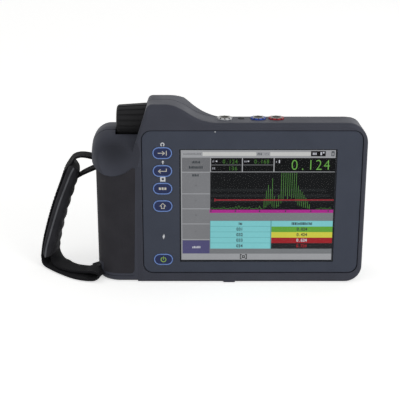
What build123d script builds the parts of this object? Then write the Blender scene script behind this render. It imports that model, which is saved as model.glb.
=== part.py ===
from build123d import *
import os
from math import cos, radians, sin

# Hand-held ultrasonic flaw detector, standing on its base.
# X runs to the right seen from the front, Y to the back, Z up. Millimetres.
# The origin is the centre of the housing's width on the plane that it stands on.

os.makedirs("parts", exist_ok=True)

# Housing
body_width = 208.0
body_height = 128.0
display_side_depth = 44.0
overall_depth = 74.0
front_shell_depth = 24.0
wall = 2.5
front_wall = 5.5
top_corner_radius = 16.0
bottom_corner_radius = 13.0
front_edge_radius = 3.0
bottom_edge_radius = 4.0
top_slope_drop = 12.0
gasket_thickness = 1.0
gasket_inset = 0.8
nub_width = 9.0
nub_depth = 5.0
nub_height = 5.0
base_chamfer = 3.0
slab_top_left_inset = 44.0
slab_left_slope = 4.0

right_x = body_width / 2
left_x = -body_width / 2
front_y = -display_side_depth / 2
back_y = display_side_depth / 2
grip_back_y = front_y + overall_depth
parting_y = front_y + front_shell_depth
slab_top_left_x = left_x + slab_top_left_inset

# Grip column, on the left
grip_width = 46.0
grip_front_set_back = 1.5
grip_front_radius = 19.0
grip_back_radius = 20.0
grip_height = body_height - 34.0
grip_right_x = left_x + grip_width
grip_front_y = front_y + grip_front_set_back

# Shoulder with the thumb rest, above the grip pad
shoulder_bulge = 3.0
shoulder_top = body_height - 9.0
shoulder_plan_radius = 21.0
shoulder_inner_tightening = 1.2
shoulder_foot = body_height - 50.0
shoulder_set_back = 0.6
shoulder_front_y = front_y + shoulder_set_back
shoulder_front_sweep = 0.432 * overall_depth
shoulder_back_sweep = 0.46 * overall_depth
shoulder_edge_radius = 0.19 * overall_depth
lip_radius = 21.0
lip_bottom = body_height - 41.8
lip_right_z = body_height - 35.0
lip_centre_x = left_x + 13.5
lip_centre_z = lip_bottom + lip_radius
dish_radius = 28.0
dish_depth = 4.2
dish_centre_x = left_x + 14.5
dish_centre_z = body_height - 24.0

# Hump that holds the knob
hump_rise = 13.5
hump_top = body_height + hump_rise
hump_left_foot_x = left_x + 29.5
hump_left_foot_z = body_height - 24.0
hump_left_top_x = left_x + 41.5
hump_flat_end_x = left_x + 54.0
hump_right_x = left_x + 95.0
hump_fall_x = left_x + 77.5
hump_fall_z = body_height + 0.31 * hump_rise
hump_end_drop = 0.05
hump_bottom = body_height - 34.0
hump_side_bottom = body_height - 48.0
hump_reach = 15.5
hump_sweep_rise = 1.0
hump_corner_radius = 5.0
hump_front_sweep = 9.0
hump_back_sweep = 36.0
hump_back_y = grip_back_y - 6.0
hump_edge_radius = 2.5
hump_plan_near = 25.0
hump_plan_far = 45.0
hump_plan_radius = 12.0

# Rubber grip pads
pad_thickness = 2.0
pad_gap = 0.1
slab_left_x = left_x + 32.2
pad_right_x = left_x + 31.7
pad_foot_right_x = left_x + 29.4
pad_bottom = 7.0
pad_top = body_height - 35.4
pad_corner_radius = 3.0
pad_pocket_margin = 2.6
pad_lip_gap = 0.4
pad_edge = 0.8
rear_pad_top = body_height - 52.0
groove_bottom = 4.5
groove_height = 0.6
groove_depth = 0.5

# Front panel, window and screen
panel_left_x = left_x + 37.1
panel_right_x = right_x - 4.15
panel_bottom = 8.25
panel_top = body_height - 5.9
panel_radius = 7.0
panel_thickness = 2.0
panel_set_back = 0.6
seam_gap = 0.5
panel_edge_radius = 0.4
screen_left_x = left_x + 66.5
screen_right_x = right_x - 24.1
screen_bottom = 18.05
screen_top = body_height - 21.25
window_margin = 1.2
window_gap = 0.15
window_set_back = 0.5
display_module_thickness = 5.0
display_module_margin = 3.0
display_frame_thickness = 1.2
display_frame_rim = 1.0
ledge_gap = 0.3

# Keys
key_x = left_x + 52.5
key_top_z = body_height - 23.0
key_pitch = 14.0
power_key_z = 19.2
key_length = 14.9
key_height = 9.2
key_gap = 0.2
key_proud = 0.4
key_travel = 0.7
key_flange = 0.9
key_flange_thickness = 0.7
key_flange_gap = 0.1
key_edge_radius = 0.5
key_names = ["key_tab", "key_enter", "key_escape", "key_home", "key_power"]
keypad_opening_width = 17.4
keypad_opening_bottom = 13.0
keypad_opening_top = body_height - 17.0
keypad_mat_thickness = 1.1
keypad_board_thickness = 1.5
keypad_board_margin = 1.0

# Knob and encoder
knob_axis_y = front_y + 30.0
knob_axis_z = hump_top - 17.5
knob_left_x = left_x + 16.6
knob_left_gap = 0.9
knob_length = 24.0
knob_tip_radius = 11.8
knob_base_radius = 13.4
knob_tip_round = 2.5
flute_count = 18
flute_width = 1.3
flute_depth = 0.8
knob_well_radius = 15.0
knob_face_gap = 0.4
core_radius = 9.0
core_end_wall = 3.0
core_gap = 0.02
nut_recess_radius = 7.6
nut_recess_depth = 5.0
shaft_radius = 3.0
shaft_bore_gap = 0.05
shaft_length_in_knob = 16.0
bushing_radius = 4.5
bushing_gap = 0.1
bushing_length = 4.4
encoder_nut_width = 12.0
encoder_nut_thickness = 2.0
encoder_body_size = 13.0
encoder_body_depth = 7.0

# Probe sockets on the top face
socket_y = -5.0
socket_x = {"output": left_x + 99.9, "receive": left_x + 125.5, "transmit": left_x + 139.3}
ring_radius = 6.0
ring_bore_radius = 4.4
ring_height = 1.0
ring_seat_depth = 0.8
socket_outer_radius = 4.3
socket_bore_radius = 3.2
socket_depth = 12.0
socket_bore_depth = 8.0
socket_seat_radius = 2.7
socket_rim_height = 1.4
socket_hole_gap = 0.1
socket_nut_width = 11.0
socket_nut_thickness = 2.0
contact_radius = 0.5
contact_depth = 2.5
socket_chamfer = 0.3
ring_edge_radius = 0.3
vent_x = left_x + 112.5
vent_radius = 2.4
vent_thickness = 1.6
vent_rise = 0.4

# Battery bay, battery and door
bay_left_x = left_x + 66.0
bay_right_x = right_x - 18.0
bay_bottom = 16.0
bay_top = body_height - 44.0
bay_floor_y = 4.0
battery_gap = 0.4
door_thickness = 2.2
door_overlap = 5.0
door_gap = 0.3
door_radius = 5.0
door_screw_inset = 3.4
door_grip_ribs = 7
door_grip_pitch = 3.0
door_grip_depth = 0.7
door_grip_height = 8.0
door_grip_drop = 8.0

# Screws
screw_radius = 1.5
screw_head_radius = 2.8
screw_head_height = 1.8
screw_hole_gap = 0.15
screw_slot_width = 0.8
screw_slot_depth = 0.7
boss_radius = 4.2
door_screw_length = 7.0
housing_screw_length = 22.0
housing_screw_seat_y = 14.0
housing_screw_places = [
    (right_x - 7.5, 13.0),
    (right_x - 7.5, body_height - 18.0),
    (left_x + 74.0, 7.0),
    (left_x + 74.0, body_height - 11.5),
    (left_x + 137.0, 7.0),
]

# Fold-out stand behind
stand_rod_radius = 2.5
stand_left_x = left_x + 78.0
stand_right_x = right_x - 30.0
stand_pivot_z = body_height - 26.0
stand_foot_z = 8.0
stand_bend_radius = 8.0
stand_clear = 0.5
stand_pin_bend = 5.0
stand_pin_length = 13.0
stand_pin_gap = 0.06
lug_width = 6.0
lug_radius = 4.6
lug_side_gap = 1.0

# Port door and ports on the right-hand side
port_door_bottom = 46.0
port_door_top = 84.0
port_door_front_y = -17.0
port_door_back_y = -1.0
port_door_thickness = 2.8
port_door_gap = 0.4
port_notch_rise = 0.6
port_notch_radius = 1.8
port_notch_length = 10.0
port_pin_radius = 0.8
port_pin_gap = 0.05
port_recess_margin = 2.5
port_recess_gap = 0.4
port_recess_depth = 9.4
port_block_thickness = 4.6
port_land = 3.0
usb_width = 13.2
usb_height = 5.8
usb_depth = 4.3
card_slot_width = 12.0
card_slot_height = 1.6
card_slot_depth = 4.0
port_pitch = 8.0

# Strap and its bars
bar_radius = 1.8
bar_seat = 2.0
bar_hole_gap = 0.05
pocket_behind_bar = 6.0
strap_gap = 0.3
upper_bar_inset = 4.5
upper_bar_y = 23.0
upper_bar_z = body_height - 41.0
upper_pocket_height = 13.0
lower_bar_inset = 6.5
lower_bar_y = -3.0
lower_bar_z = 6.8
lower_pocket_height = 9.0
pocket_width = 17.0
webbing_width = 16.0
webbing_thickness = 1.8
sleeve_width = 26.0
sleeve_thickness = 5.0
# Middle line of the padded sleeve from its top down: x, y, z and turn of the width in degrees
sleeve_run = [
    (left_x - 18.3, 23.0, 0.9885 * upper_bar_z, 8.0),
    (left_x - 21.6, 23.0, 0.8966 * upper_bar_z, 9.0),
    (left_x - 25.5, 23.0, 0.7759 * upper_bar_z, 11.0),
    (left_x - 29.5, 23.0, 0.6437 * upper_bar_z, 13.0),
    (left_x - 34.0, 22.5, 0.4828 * upper_bar_z, 16.0),
    (left_x - 38.5, 22.0, 0.3218 * upper_bar_z, 18.0),
    (left_x - 42.3, 21.5, 0.1724 * upper_bar_z, 20.0),
    (left_x - 43.6, 21.0, 0.0977 * upper_bar_z, 22.0),
]
# Free end of the upper webbing, up to the bar
tail_run = [
    (left_x - 18.4, 23.0, upper_bar_z - 13.0, 4.0),
    (left_x - 13.0, 23.0, upper_bar_z - 9.7, 2.0),
    (left_x - 6.0, 23.0, upper_bar_z - 6.4, 0.0),
    (left_x - 0.5, 23.0, upper_bar_z - 4.1, 0.0),
]
# Upper webbing from the bar over the top of the sleeve
over_run = [
    (left_x - 3.0, 23.0, upper_bar_z + 3.3, 0.0),
    (left_x - 9.0, 23.0, upper_bar_z + 4.6, 2.0),
    (left_x - 14.5, 23.0, upper_bar_z + 5.4, 4.0),
    (left_x - 20.2, 23.0, upper_bar_z + 4.0, 6.0),
    (left_x - 24.0, 23.0, upper_bar_z - 0.4, 8.0),
]
# Upper webbing below the sleeve, folded flat on the floor
floor_run = [
    (left_x - 47.2, 20.4, 5.6, 24.0),
    (left_x - 45.4, 18.8, 2.4, 30.0),
    (left_x - 42.0, 16.0, 1.25, 35.0),
    (left_x - 34.0, 8.6, 1.25, 39.0),
    (left_x - 25.5, 1.4, 1.25, 36.0),
    (left_x - 13.0, -6.4, 1.25, 30.0),
    (left_x - 3.8, -11.0, 1.25, 27.0),
]
# Lower webbing from inside the sleeve to the lower bar, and its free end
under_run = [
    (left_x - 38.0, 20.2, 14.0, 21.0),
    (left_x - 36.8, 18.2, 9.0, 28.0),
    (left_x - 32.4, 12.2, 4.8, 38.0),
    (left_x - 23.0, 2.6, 3.6, 36.0),
    (left_x - 11.0, -3.4, 3.7, 16.0),
    (left_x - 2.0, -3.6, 3.8, 2.0),
    (left_x + 3.0, -3.0, 3.8, 0.0),
]
lower_tail_run = [
    (left_x + 3.0, -3.0, 9.9, 0.0),
    (left_x - 1.5, -3.4, 9.0, 2.0),
    (left_x - 8.0, -4.4, 6.6, 10.0),
]

# Boards inside
board_thickness = 1.6
board_back_y = -1.5
board_left_x = left_x + 70.0
board_right_x = right_x - 20.0
board_bottom = 20.0
board_top = body_height - 22.0
standoff_radius = 3.0
standoff_inset = 5.0
shield_width = 46.0
shield_height = 34.0
shield_depth = 3.4


def block(x0, x1, y0, y1, z0, z1):
    """A plain block between two corners."""
    with BuildPart() as made:
        with Locations(((x0 + x1) / 2, (y0 + y1) / 2, (z0 + z1) / 2)):
            Box(x1 - x0, y1 - y0, z1 - z0)
    return made.part


def rod(start, direction, radius, length):
    """A round bar from a point along a direction."""
    with BuildPart() as made:
        with BuildSketch(Plane(origin=start, z_dir=direction)):
            Circle(radius)
        extrude(amount=length)
    return made.part


def between(y0, y1):
    """All that lies between two depths."""
    return block(-body_width, body_width, y0, y1, -body_height, 2 * body_height)


def plate(centre_x, centre_z, width, height, radius, front, back):
    """A plate with round corners that faces the front."""
    with BuildPart() as made:
        with BuildSketch(Plane.XZ.offset(-back)):
            with Locations((centre_x, centre_z)):
                RectangleRounded(width, height, radius)
        extrude(amount=back - front)
    return made.part


def slab_form(inset):
    """The display side: round corners, and a top that slopes down behind the parting line."""
    with BuildPart() as form:
        with BuildSketch(Plane.XZ.offset(-back_y + inset)) as outline:
            with BuildLine():
                Polyline(
                    (slab_left_x + inset, inset),
                    (right_x - inset, inset),
                    (right_x - inset, body_height - inset),
                    (slab_top_left_x, body_height - inset),
                    (slab_top_left_x, hump_left_foot_z - inset),
                    (slab_left_x + inset, hump_left_foot_z - inset),
                    close=True,
                )
            make_face()
            right = outline.vertices().group_by(Axis.X)[-1].sort_by(Axis.Y)
            fillet(right[0], bottom_corner_radius - inset)
            fillet(outline.vertices().group_by(Axis.Y)[-1].sort_by(Axis.X)[-1],
                   top_corner_radius - inset)
        extrude(amount=display_side_depth - 2 * inset)
        with BuildSketch(Plane.YZ.offset(left_x)):
            with BuildLine():
                Polyline(
                    (front_y + inset, inset),
                    (back_y - base_chamfer, inset),
                    (back_y - inset, base_chamfer),
                    (back_y - inset, body_height - top_slope_drop - inset),
                    (parting_y - 0.5, body_height - inset),
                    (front_y + inset, body_height - inset),
                    close=True,
                )
            make_face()
        extrude(amount=body_width, mode=Mode.INTERSECT)
        if inset == 0:
            front = form.faces().sort_by(Axis.Y)[0].edges()
            fillet(front.filter_by(lambda e: e.center().X > slab_top_left_x + 1), front_edge_radius)
        slope_start = (slab_left_x + inset, grip_front_y + inset)
        slope_end = (slab_left_x + slab_left_slope, front_y + inset)
        with BuildSketch(Plane.XY.offset(-1)):
            with BuildLine():
                Polyline(
                    slope_start,
                    slope_end,
                    (slope_end[0], front_y - 1),
                    (slab_left_x - 1, front_y - 1),
                    (slab_left_x - 1, slope_start[1]),
                    close=True,
                )
            make_face()
        extrude(amount=body_height, mode=Mode.SUBTRACT)
    return form.part


def grip_form(inset):
    """The grip: an upright column with round corners in plan."""
    with BuildPart() as form:
        with BuildSketch(Plane.XY.offset(inset)) as plan:
            with BuildLine():
                Polyline(
                    (left_x + inset, grip_front_y + inset),
                    (grip_right_x - inset, grip_front_y + inset),
                    (grip_right_x - inset, grip_back_y - inset),
                    (left_x + inset, grip_back_y - inset),
                    close=True,
                )
            make_face()
            left = plan.vertices().group_by(Axis.X)[0].sort_by(Axis.Y)
            fillet(left[0], grip_front_radius - inset)
            back = plan.vertices().group_by(Axis.Y)[-1]
            fillet(back, grip_back_radius - inset)
        extrude(amount=grip_height - 2 * inset)
        if inset == 0:
            low = form.faces().sort_by(Axis.Z)[0].edges()
            fillet(low.filter_by(lambda e: e.center().X < grip_right_x - 1), bottom_edge_radius)
    return form.part


def shoulder_form(inset):
    """The bulge above the grip pad, with a round lip below and a swept top."""
    bulge_x = left_x - shoulder_bulge + inset
    top = shoulder_top - inset
    lip = lip_radius - inset
    lip_end_x = lip_centre_x + (lip**2 - (lip_centre_z - lip_right_z) ** 2) ** 0.5
    lip_left_z = lip_centre_z - (lip**2 - (bulge_x - 1 - lip_centre_x) ** 2) ** 0.5
    front = shoulder_front_y + inset
    back = grip_back_y - inset
    with BuildPart() as form:
        with BuildSketch(Plane.XY.offset(shoulder_foot)) as plan:
            with BuildLine():
                Polyline(
                    (bulge_x, front),
                    (grip_right_x, front),
                    (grip_right_x, back),
                    (bulge_x, back),
                    close=True,
                )
            make_face()
            fillet(plan.vertices().group_by(Axis.X)[0],
                   shoulder_plan_radius - shoulder_inner_tightening * inset)
            fillet(plan.vertices().group_by(Axis.Y)[-1].sort_by(Axis.X)[-1],
                   grip_back_radius - inset)
        extrude(amount=top - shoulder_foot)
        with BuildSketch(Plane.YZ.offset(bulge_x)):
            with BuildLine():
                Line((front, 0), (front, top - shoulder_front_sweep + inset))
                JernArc((front, top - shoulder_front_sweep + inset), (0, 1),
                        shoulder_front_sweep - inset, -90)
                Line((front + shoulder_front_sweep - inset, top),
                     (back - shoulder_back_sweep + inset, top))
                JernArc((back - shoulder_back_sweep + inset, top), (1, 0),
                        shoulder_back_sweep - inset, -90)
                Line((back, top - shoulder_back_sweep + inset), (back, 0))
                Line((back, 0), (front, 0))
            make_face()
        extrude(amount=grip_right_x - bulge_x, mode=Mode.INTERSECT)
        crease = form.edges().filter_by(
            lambda e: e.center().X < grip_right_x - 0.5
            and e.center().Z > shoulder_foot + 1
            and e.bounding_box().max.Z > top - 15
            and e.bounding_box().min.X < bulge_x + 12
            and e.bounding_box().size.Y > 0.1
        )
        fillet(crease, shoulder_edge_radius - inset)
        with BuildSketch(Plane.XZ.offset(-grip_back_y - 1)):
            with BuildLine():
                ThreePointArc(
                    (bulge_x - 1, lip_left_z),
                    (lip_centre_x, lip_centre_z - lip),
                    (lip_end_x, lip_right_z),
                )
                Polyline(
                    (lip_end_x, lip_right_z),
                    (grip_right_x + 1, lip_right_z),
                    (grip_right_x + 1, top + 1),
                    (bulge_x - 1, top + 1),
                    (bulge_x - 1, lip_left_z),
                )
            make_face()
        extrude(amount=overall_depth + 2, mode=Mode.INTERSECT)
    return form.part


def hump_form(inset):
    """The hump at the top left: a slanted left flank and a long fall to the flat top."""
    top_z = hump_top - inset
    foot_x = hump_left_foot_x + inset
    flank_lean = (hump_left_top_x - hump_left_foot_x) / (hump_top - hump_left_foot_z)
    top_x = hump_left_top_x + inset * (1 - flank_lean)
    end_z = body_height - hump_end_drop - inset
    side_x = hump_left_foot_x - hump_reach
    with BuildPart() as form:
        with BuildSketch(Plane.XZ.offset(-hump_back_y + inset)) as outline:
            with BuildLine():
                Polyline(
                    (hump_right_x, end_z),
                    (hump_right_x, hump_bottom),
                    (foot_x, hump_bottom),
                    (foot_x, hump_left_foot_z),
                    (top_x, top_z),
                    (hump_flat_end_x, top_z),
                )
                Spline(
                    (hump_flat_end_x, top_z),
                    (hump_fall_x, hump_fall_z - inset),
                    (hump_right_x, end_z),
                    tangents=[(1, 0), (1, -0.02)],
                )
            make_face()
            corner = outline.vertices().filter_by(
                lambda v: abs(v.X - top_x) < 0.1 and v.Y > top_z - 1)
            fillet(corner, hump_corner_radius)
        extrude(amount=hump_back_y - front_y - 2 * inset)
        with BuildSketch(Plane.YZ.offset(side_x)) as side:
            with BuildLine():
                Polyline(
                    (front_y + inset, hump_side_bottom),
                    (hump_back_y - inset, hump_side_bottom),
                    (hump_back_y - inset, top_z + hump_sweep_rise),
                    (front_y + inset, top_z + hump_sweep_rise),
                    close=True,
                )
            make_face()
            top = side.vertices().group_by(Axis.Y)[-1].sort_by(Axis.X)
            fillet(top[0], hump_front_sweep - inset)
            fillet(side.vertices().group_by(Axis.X)[-1].sort_by(Axis.Y)[-1], hump_back_sweep - inset)
        extrude(amount=hump_right_x + 1 - side_x, mode=Mode.INTERSECT)
        with BuildSketch(Plane.XY.offset(hump_side_bottom)) as plan:
            with BuildLine():
                Polyline(
                    (side_x, front_y - 1),
                    (hump_right_x + 1, front_y - 1),
                    (hump_right_x + 1, parting_y + 2),
                    (hump_right_x - hump_plan_near - inset, back_y + 6),
                    (hump_right_x - hump_plan_far - inset, hump_back_y + 1),
                    (side_x, hump_back_y + 1),
                    close=True,
                )
            make_face()
            bends = plan.vertices().filter_by(lambda v: side_x + 1 < v.X < hump_right_x)
            fillet(bends, hump_plan_radius)
        extrude(amount=hump_top + wall - hump_side_bottom, mode=Mode.INTERSECT)
        if inset == 0:
            rim = form.edges().filter_by(
                lambda e: e.center().Z > hump_left_foot_z
                and e.bounding_box().max.X < hump_right_x - 1
                and e.bounding_box().min.X < hump_right_x - 12
            )
            fillet(rim, hump_edge_radius)
    return form.part


def housing_form(inset):
    """The whole outer form of the housing, or the same form drawn in by a wall."""
    with BuildPart() as form:
        add(slab_form(inset))
        add(grip_form(inset))
        add(shoulder_form(inset))
        add(hump_form(inset))
    return form.part


# Derived places that several pieces share
panel_front_y = front_y + panel_set_back
panel_back_y = panel_front_y + panel_thickness
panel_centre_x = (panel_left_x + panel_right_x) / 2
panel_centre_z = (panel_bottom + panel_top) / 2
panel_width = panel_right_x - panel_left_x
panel_height = panel_top - panel_bottom
ledge_back_y = front_y + front_wall
screen_width = screen_right_x - screen_left_x
screen_height = screen_top - screen_bottom
screen_centre_x = (screen_left_x + screen_right_x) / 2
screen_centre_z = (screen_bottom + screen_top) / 2
window_width = screen_width + 2 * window_margin
window_height = screen_height + 2 * window_margin
module_width = screen_width + 2 * display_module_margin
module_height = screen_height + 2 * display_module_margin
module_back_y = panel_back_y + display_module_thickness
frame_back_y = module_back_y + display_frame_thickness
key_places = [key_top_z - key_pitch * step for step in range(4)] + [power_key_z]
keypad_centre_z = (keypad_opening_bottom + keypad_opening_top) / 2
keypad_opening_height = keypad_opening_top - keypad_opening_bottom
well_floor_x = knob_left_x + knob_length + knob_face_gap
encoder_wall_x = well_floor_x + wall
door_left_x = bay_left_x - door_overlap
door_right_x = bay_right_x + door_overlap
door_bottom = bay_bottom - door_overlap
door_top = bay_top + door_overlap
door_centre_x = (door_left_x + door_right_x) / 2
door_centre_z = (door_bottom + door_top) / 2
door_screw_places = [
    (x, z)
    for x in (door_left_x + door_screw_inset, door_right_x - door_screw_inset)
    for z in (door_bottom + door_screw_inset, door_top - door_screw_inset)
]
stand_y = back_y + stand_clear + stand_rod_radius
port_centre_y = (port_door_front_y + port_door_back_y) / 2
port_centre_z = (port_door_bottom + port_door_top) / 2
port_hinge_x = right_x - port_door_thickness / 2
port_hinge_y = port_door_back_y - port_door_thickness / 2
port_seat_x = right_x - port_door_thickness - port_recess_gap
port_floor_x = right_x - port_recess_depth
upper_bar_x = left_x + upper_bar_inset
lower_bar_x = left_x + lower_bar_inset


def bar_pocket(bar_x, bar_y, bar_z, height, grow):
    """The pocket round a strap bar, open to the left, or the same grown by a wall."""
    return block(
        left_x - 20, bar_x + pocket_behind_bar + grow,
        bar_y - pocket_width / 2 - grow, bar_y + pocket_width / 2 + grow,
        bar_z - height / 2 - grow, bar_z + height / 2 + grow,
    )


upper_pocket = (upper_bar_x, upper_bar_y, upper_bar_z, upper_pocket_height)
lower_pocket = (lower_bar_x, lower_bar_y, lower_bar_z, lower_pocket_height)

# Outer form, with the thumb dish and the well that the knob turns in
with BuildPart() as outer:
    add(housing_form(0))
    sweep_z = shoulder_top - shoulder_front_sweep
    sweep_y = shoulder_front_y + shoulder_front_sweep
    rise = dish_centre_z - sweep_z
    dish_surface_y = sweep_y - (shoulder_front_sweep**2 - rise**2) ** 0.5
    with Locations((dish_centre_x, dish_surface_y - dish_radius + dish_depth, dish_centre_z)):
        Sphere(dish_radius, mode=Mode.SUBTRACT)
    add(
        rod((knob_left_x - knob_left_gap, knob_axis_y, knob_axis_z), (1, 0, 0), knob_well_radius,
            well_floor_x - knob_left_x + knob_left_gap),
        mode=Mode.SUBTRACT,
    )

# Hollow inside, less the bosses, lands and walls that stand in it
with BuildPart() as cavity:
    add(housing_form(wall))
    add(block(panel_left_x - 6, right_x, front_y, ledge_back_y, 0, body_height), mode=Mode.SUBTRACT)
    add(
        rod((left_x - 10, knob_axis_y, knob_axis_z), (1, 0, 0), knob_well_radius + wall,
            encoder_wall_x - left_x + 10),
        mode=Mode.SUBTRACT,
    )
    with Locations((dish_centre_x, dish_surface_y - dish_radius + dish_depth, dish_centre_z)):
        Sphere(dish_radius + wall, mode=Mode.SUBTRACT)
    add(
        block(bay_left_x - wall, bay_right_x + wall, bay_floor_y - 1.5, back_y,
              bay_bottom - wall, bay_top + wall),
        mode=Mode.SUBTRACT,
    )
    add(
        block(port_floor_x - wall, right_x, front_y, port_door_back_y + wall,
              port_door_bottom - wall - port_land, port_door_top + wall + port_land),
        mode=Mode.SUBTRACT,
    )
    add(bar_pocket(*upper_pocket, wall), mode=Mode.SUBTRACT)
    add(bar_pocket(*lower_pocket, wall), mode=Mode.SUBTRACT)
    for x, z in housing_screw_places:
        add(rod((x, ledge_back_y, z), (0, 1, 0), boss_radius, back_y - ledge_back_y + 6),
            mode=Mode.SUBTRACT)
    for x, z in door_screw_places:
        add(rod((x, back_y, z), (0, -1, 0), boss_radius, door_screw_length + door_thickness + 1),
            mode=Mode.SUBTRACT)

with BuildPart() as shell:
    add(outer.part)
    add(cavity.part, mode=Mode.SUBTRACT)
    add(bar_pocket(*upper_pocket, 0), mode=Mode.SUBTRACT)
    add(bar_pocket(*lower_pocket, 0), mode=Mode.SUBTRACT)


def save(made, name):
    """Label one finished piece and write it."""
    made.label = name
    export_step(made, f"parts/{name}.step")
    print(name, round(made.volume), "mm3")


def tube(start, direction, outer_radius, bore_radius, length):
    """A round tube from a point along a direction."""
    with BuildPart() as made:
        with BuildSketch(Plane(origin=start, z_dir=direction)):
            Circle(outer_radius)
            Circle(bore_radius, mode=Mode.SUBTRACT)
        extrude(amount=length)
    return made.part


def pill(centre_z, grow, front, back):
    """A key's pill shape, grown all round, between two depths."""
    with BuildPart() as made:
        with BuildSketch(Plane.XZ.offset(-back)):
            with Locations((key_x, centre_z)):
                SlotOverall(key_length + 2 * grow, key_height + 2 * grow)
        extrude(amount=back - front)
    return made.part


def bar_rod(bar_x, bar_y, bar_z, grow):
    """A strap bar, or its hole, seated in both walls of its pocket."""
    reach = pocket_width / 2 + bar_seat + grow
    return rod((bar_x, bar_y - reach, bar_z), (0, 1, 0), bar_radius + grow, 2 * reach)


def pad_zone(y0, y1, top, grow):
    """The belt of the grip that a rubber pad covers, below the lip and round the lower pocket."""
    with BuildPart() as made:
        with BuildSketch(Plane.XZ.offset(-y1 - grow)) as belt:
            with BuildLine():
                Polyline(
                    (left_x - 5, pad_bottom - grow),
                    (pad_foot_right_x + grow, pad_bottom - grow),
                    (pad_right_x + grow, top + grow),
                    (left_x - 5, top + grow),
                    close=True,
                )
            make_face()
            fillet(belt.vertices().group_by(Axis.Y)[0].sort_by(Axis.X)[-1],
                   pad_corner_radius + grow)
        extrude(amount=y1 - y0 + 2 * grow)
        add(
            rod((lip_centre_x, y0 - 1, lip_centre_z), (0, 1, 0),
                lip_radius + pad_lip_gap - grow, y1 - y0 + 2),
            mode=Mode.SUBTRACT,
        )
        add(bar_pocket(*lower_pocket, pad_pocket_margin - grow), mode=Mode.SUBTRACT)
    return made.part


# Rubber pads that lie in shallow beds round the grip
pad_belts = {
    "front_grip_pad": (grip_front_y - 2, parting_y - pad_edge, pad_top),
    "rear_grip_pad": (parting_y + pad_edge, grip_back_y + 2, rear_pad_top),
}
skin = grip_form(0)
pad_seat = grip_form(pad_thickness)
pad_core = grip_form(pad_thickness - pad_gap)
for name, (y0, y1, top) in pad_belts.items():
    with BuildPart() as pad:
        add(skin)
        add(pad_core, mode=Mode.SUBTRACT)
        add(pad_zone(y0, y1, top, 0), mode=Mode.INTERSECT)
    save(pad.part, name)
with BuildPart() as pad_bed:
    add(skin)
    add(pad_seat, mode=Mode.SUBTRACT)
with BuildPart() as foot_groove:
    add(skin)
    add(grip_form(groove_depth), mode=Mode.SUBTRACT)
    add(block(left_x - 5, pad_foot_right_x, grip_front_y - 1, grip_back_y + 1, groove_bottom,
              groove_bottom + groove_height), mode=Mode.INTERSECT)

# Front housing: the shell before the parting line, with the panel's bed and its openings
with BuildPart() as front_housing:
    add(shell.part)
    add(between(front_y - 1, parting_y - gasket_thickness / 2), mode=Mode.INTERSECT)
    with Locations((0, front_y + nub_depth / 2, nub_height / 2)):
        Box(nub_width, nub_depth, nub_height)
    add(
        plate(panel_centre_x, panel_centre_z, panel_width + 2 * seam_gap,
              panel_height + 2 * seam_gap, panel_radius + seam_gap, front_y - 1, panel_back_y),
        mode=Mode.SUBTRACT,
    )
    add(
        plate(screen_centre_x, screen_centre_z, module_width + 2 * ledge_gap,
              module_height + 2 * ledge_gap, 1, front_y, ledge_back_y + 0.01),
        mode=Mode.SUBTRACT,
    )
    add(
        plate(key_x, keypad_centre_z, keypad_opening_width, keypad_opening_height, 3,
              front_y, ledge_back_y + 0.01),
        mode=Mode.SUBTRACT,
    )
    with BuildPart(mode=Mode.PRIVATE) as bed:
        add(pad_bed.part)
        add(pad_zone(*pad_belts["front_grip_pad"], pad_gap), mode=Mode.INTERSECT)
    add(bed.part, mode=Mode.SUBTRACT)
    add(foot_groove.part, mode=Mode.SUBTRACT)
    for x in socket_x.values():
        add(rod((x, socket_y, body_height + 1), (0, 0, -1), socket_outer_radius + socket_hole_gap,
                socket_depth), mode=Mode.SUBTRACT)
        add(rod((x, socket_y, body_height + 1), (0, 0, -1), ring_radius + socket_hole_gap,
                ring_seat_depth + 1), mode=Mode.SUBTRACT)
    add(rod((vent_x, socket_y, body_height + 1), (0, 0, -1), vent_radius + socket_hole_gap,
            vent_thickness - vent_rise + 1), mode=Mode.SUBTRACT)
    for x, z in housing_screw_places:
        add(rod((x, housing_screw_seat_y - housing_screw_length - 0.5, z), (0, 1, 0),
                screw_radius + bar_hole_gap, housing_screw_length), mode=Mode.SUBTRACT)
    add(bar_rod(lower_bar_x, lower_bar_y, lower_bar_z, bar_hole_gap), mode=Mode.SUBTRACT)
    add(
        block(port_seat_x, right_x + 5, port_door_front_y - port_door_gap,
              port_door_back_y + port_door_gap, port_door_bottom - port_door_gap,
              port_door_top + port_door_gap),
        mode=Mode.SUBTRACT,
    )
    add(
        block(port_floor_x, right_x, port_door_front_y + port_recess_margin,
              port_door_back_y - port_recess_margin, port_door_bottom + port_recess_margin,
              port_door_top - port_recess_margin),
        mode=Mode.SUBTRACT,
    )
    add(rod((port_hinge_x, port_hinge_y, port_door_bottom - port_land), (0, 0, 1),
            port_pin_radius + port_pin_gap, port_door_top - port_door_bottom + 2 * port_land),
        mode=Mode.SUBTRACT)
save(front_housing.part, "front_housing")

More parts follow.
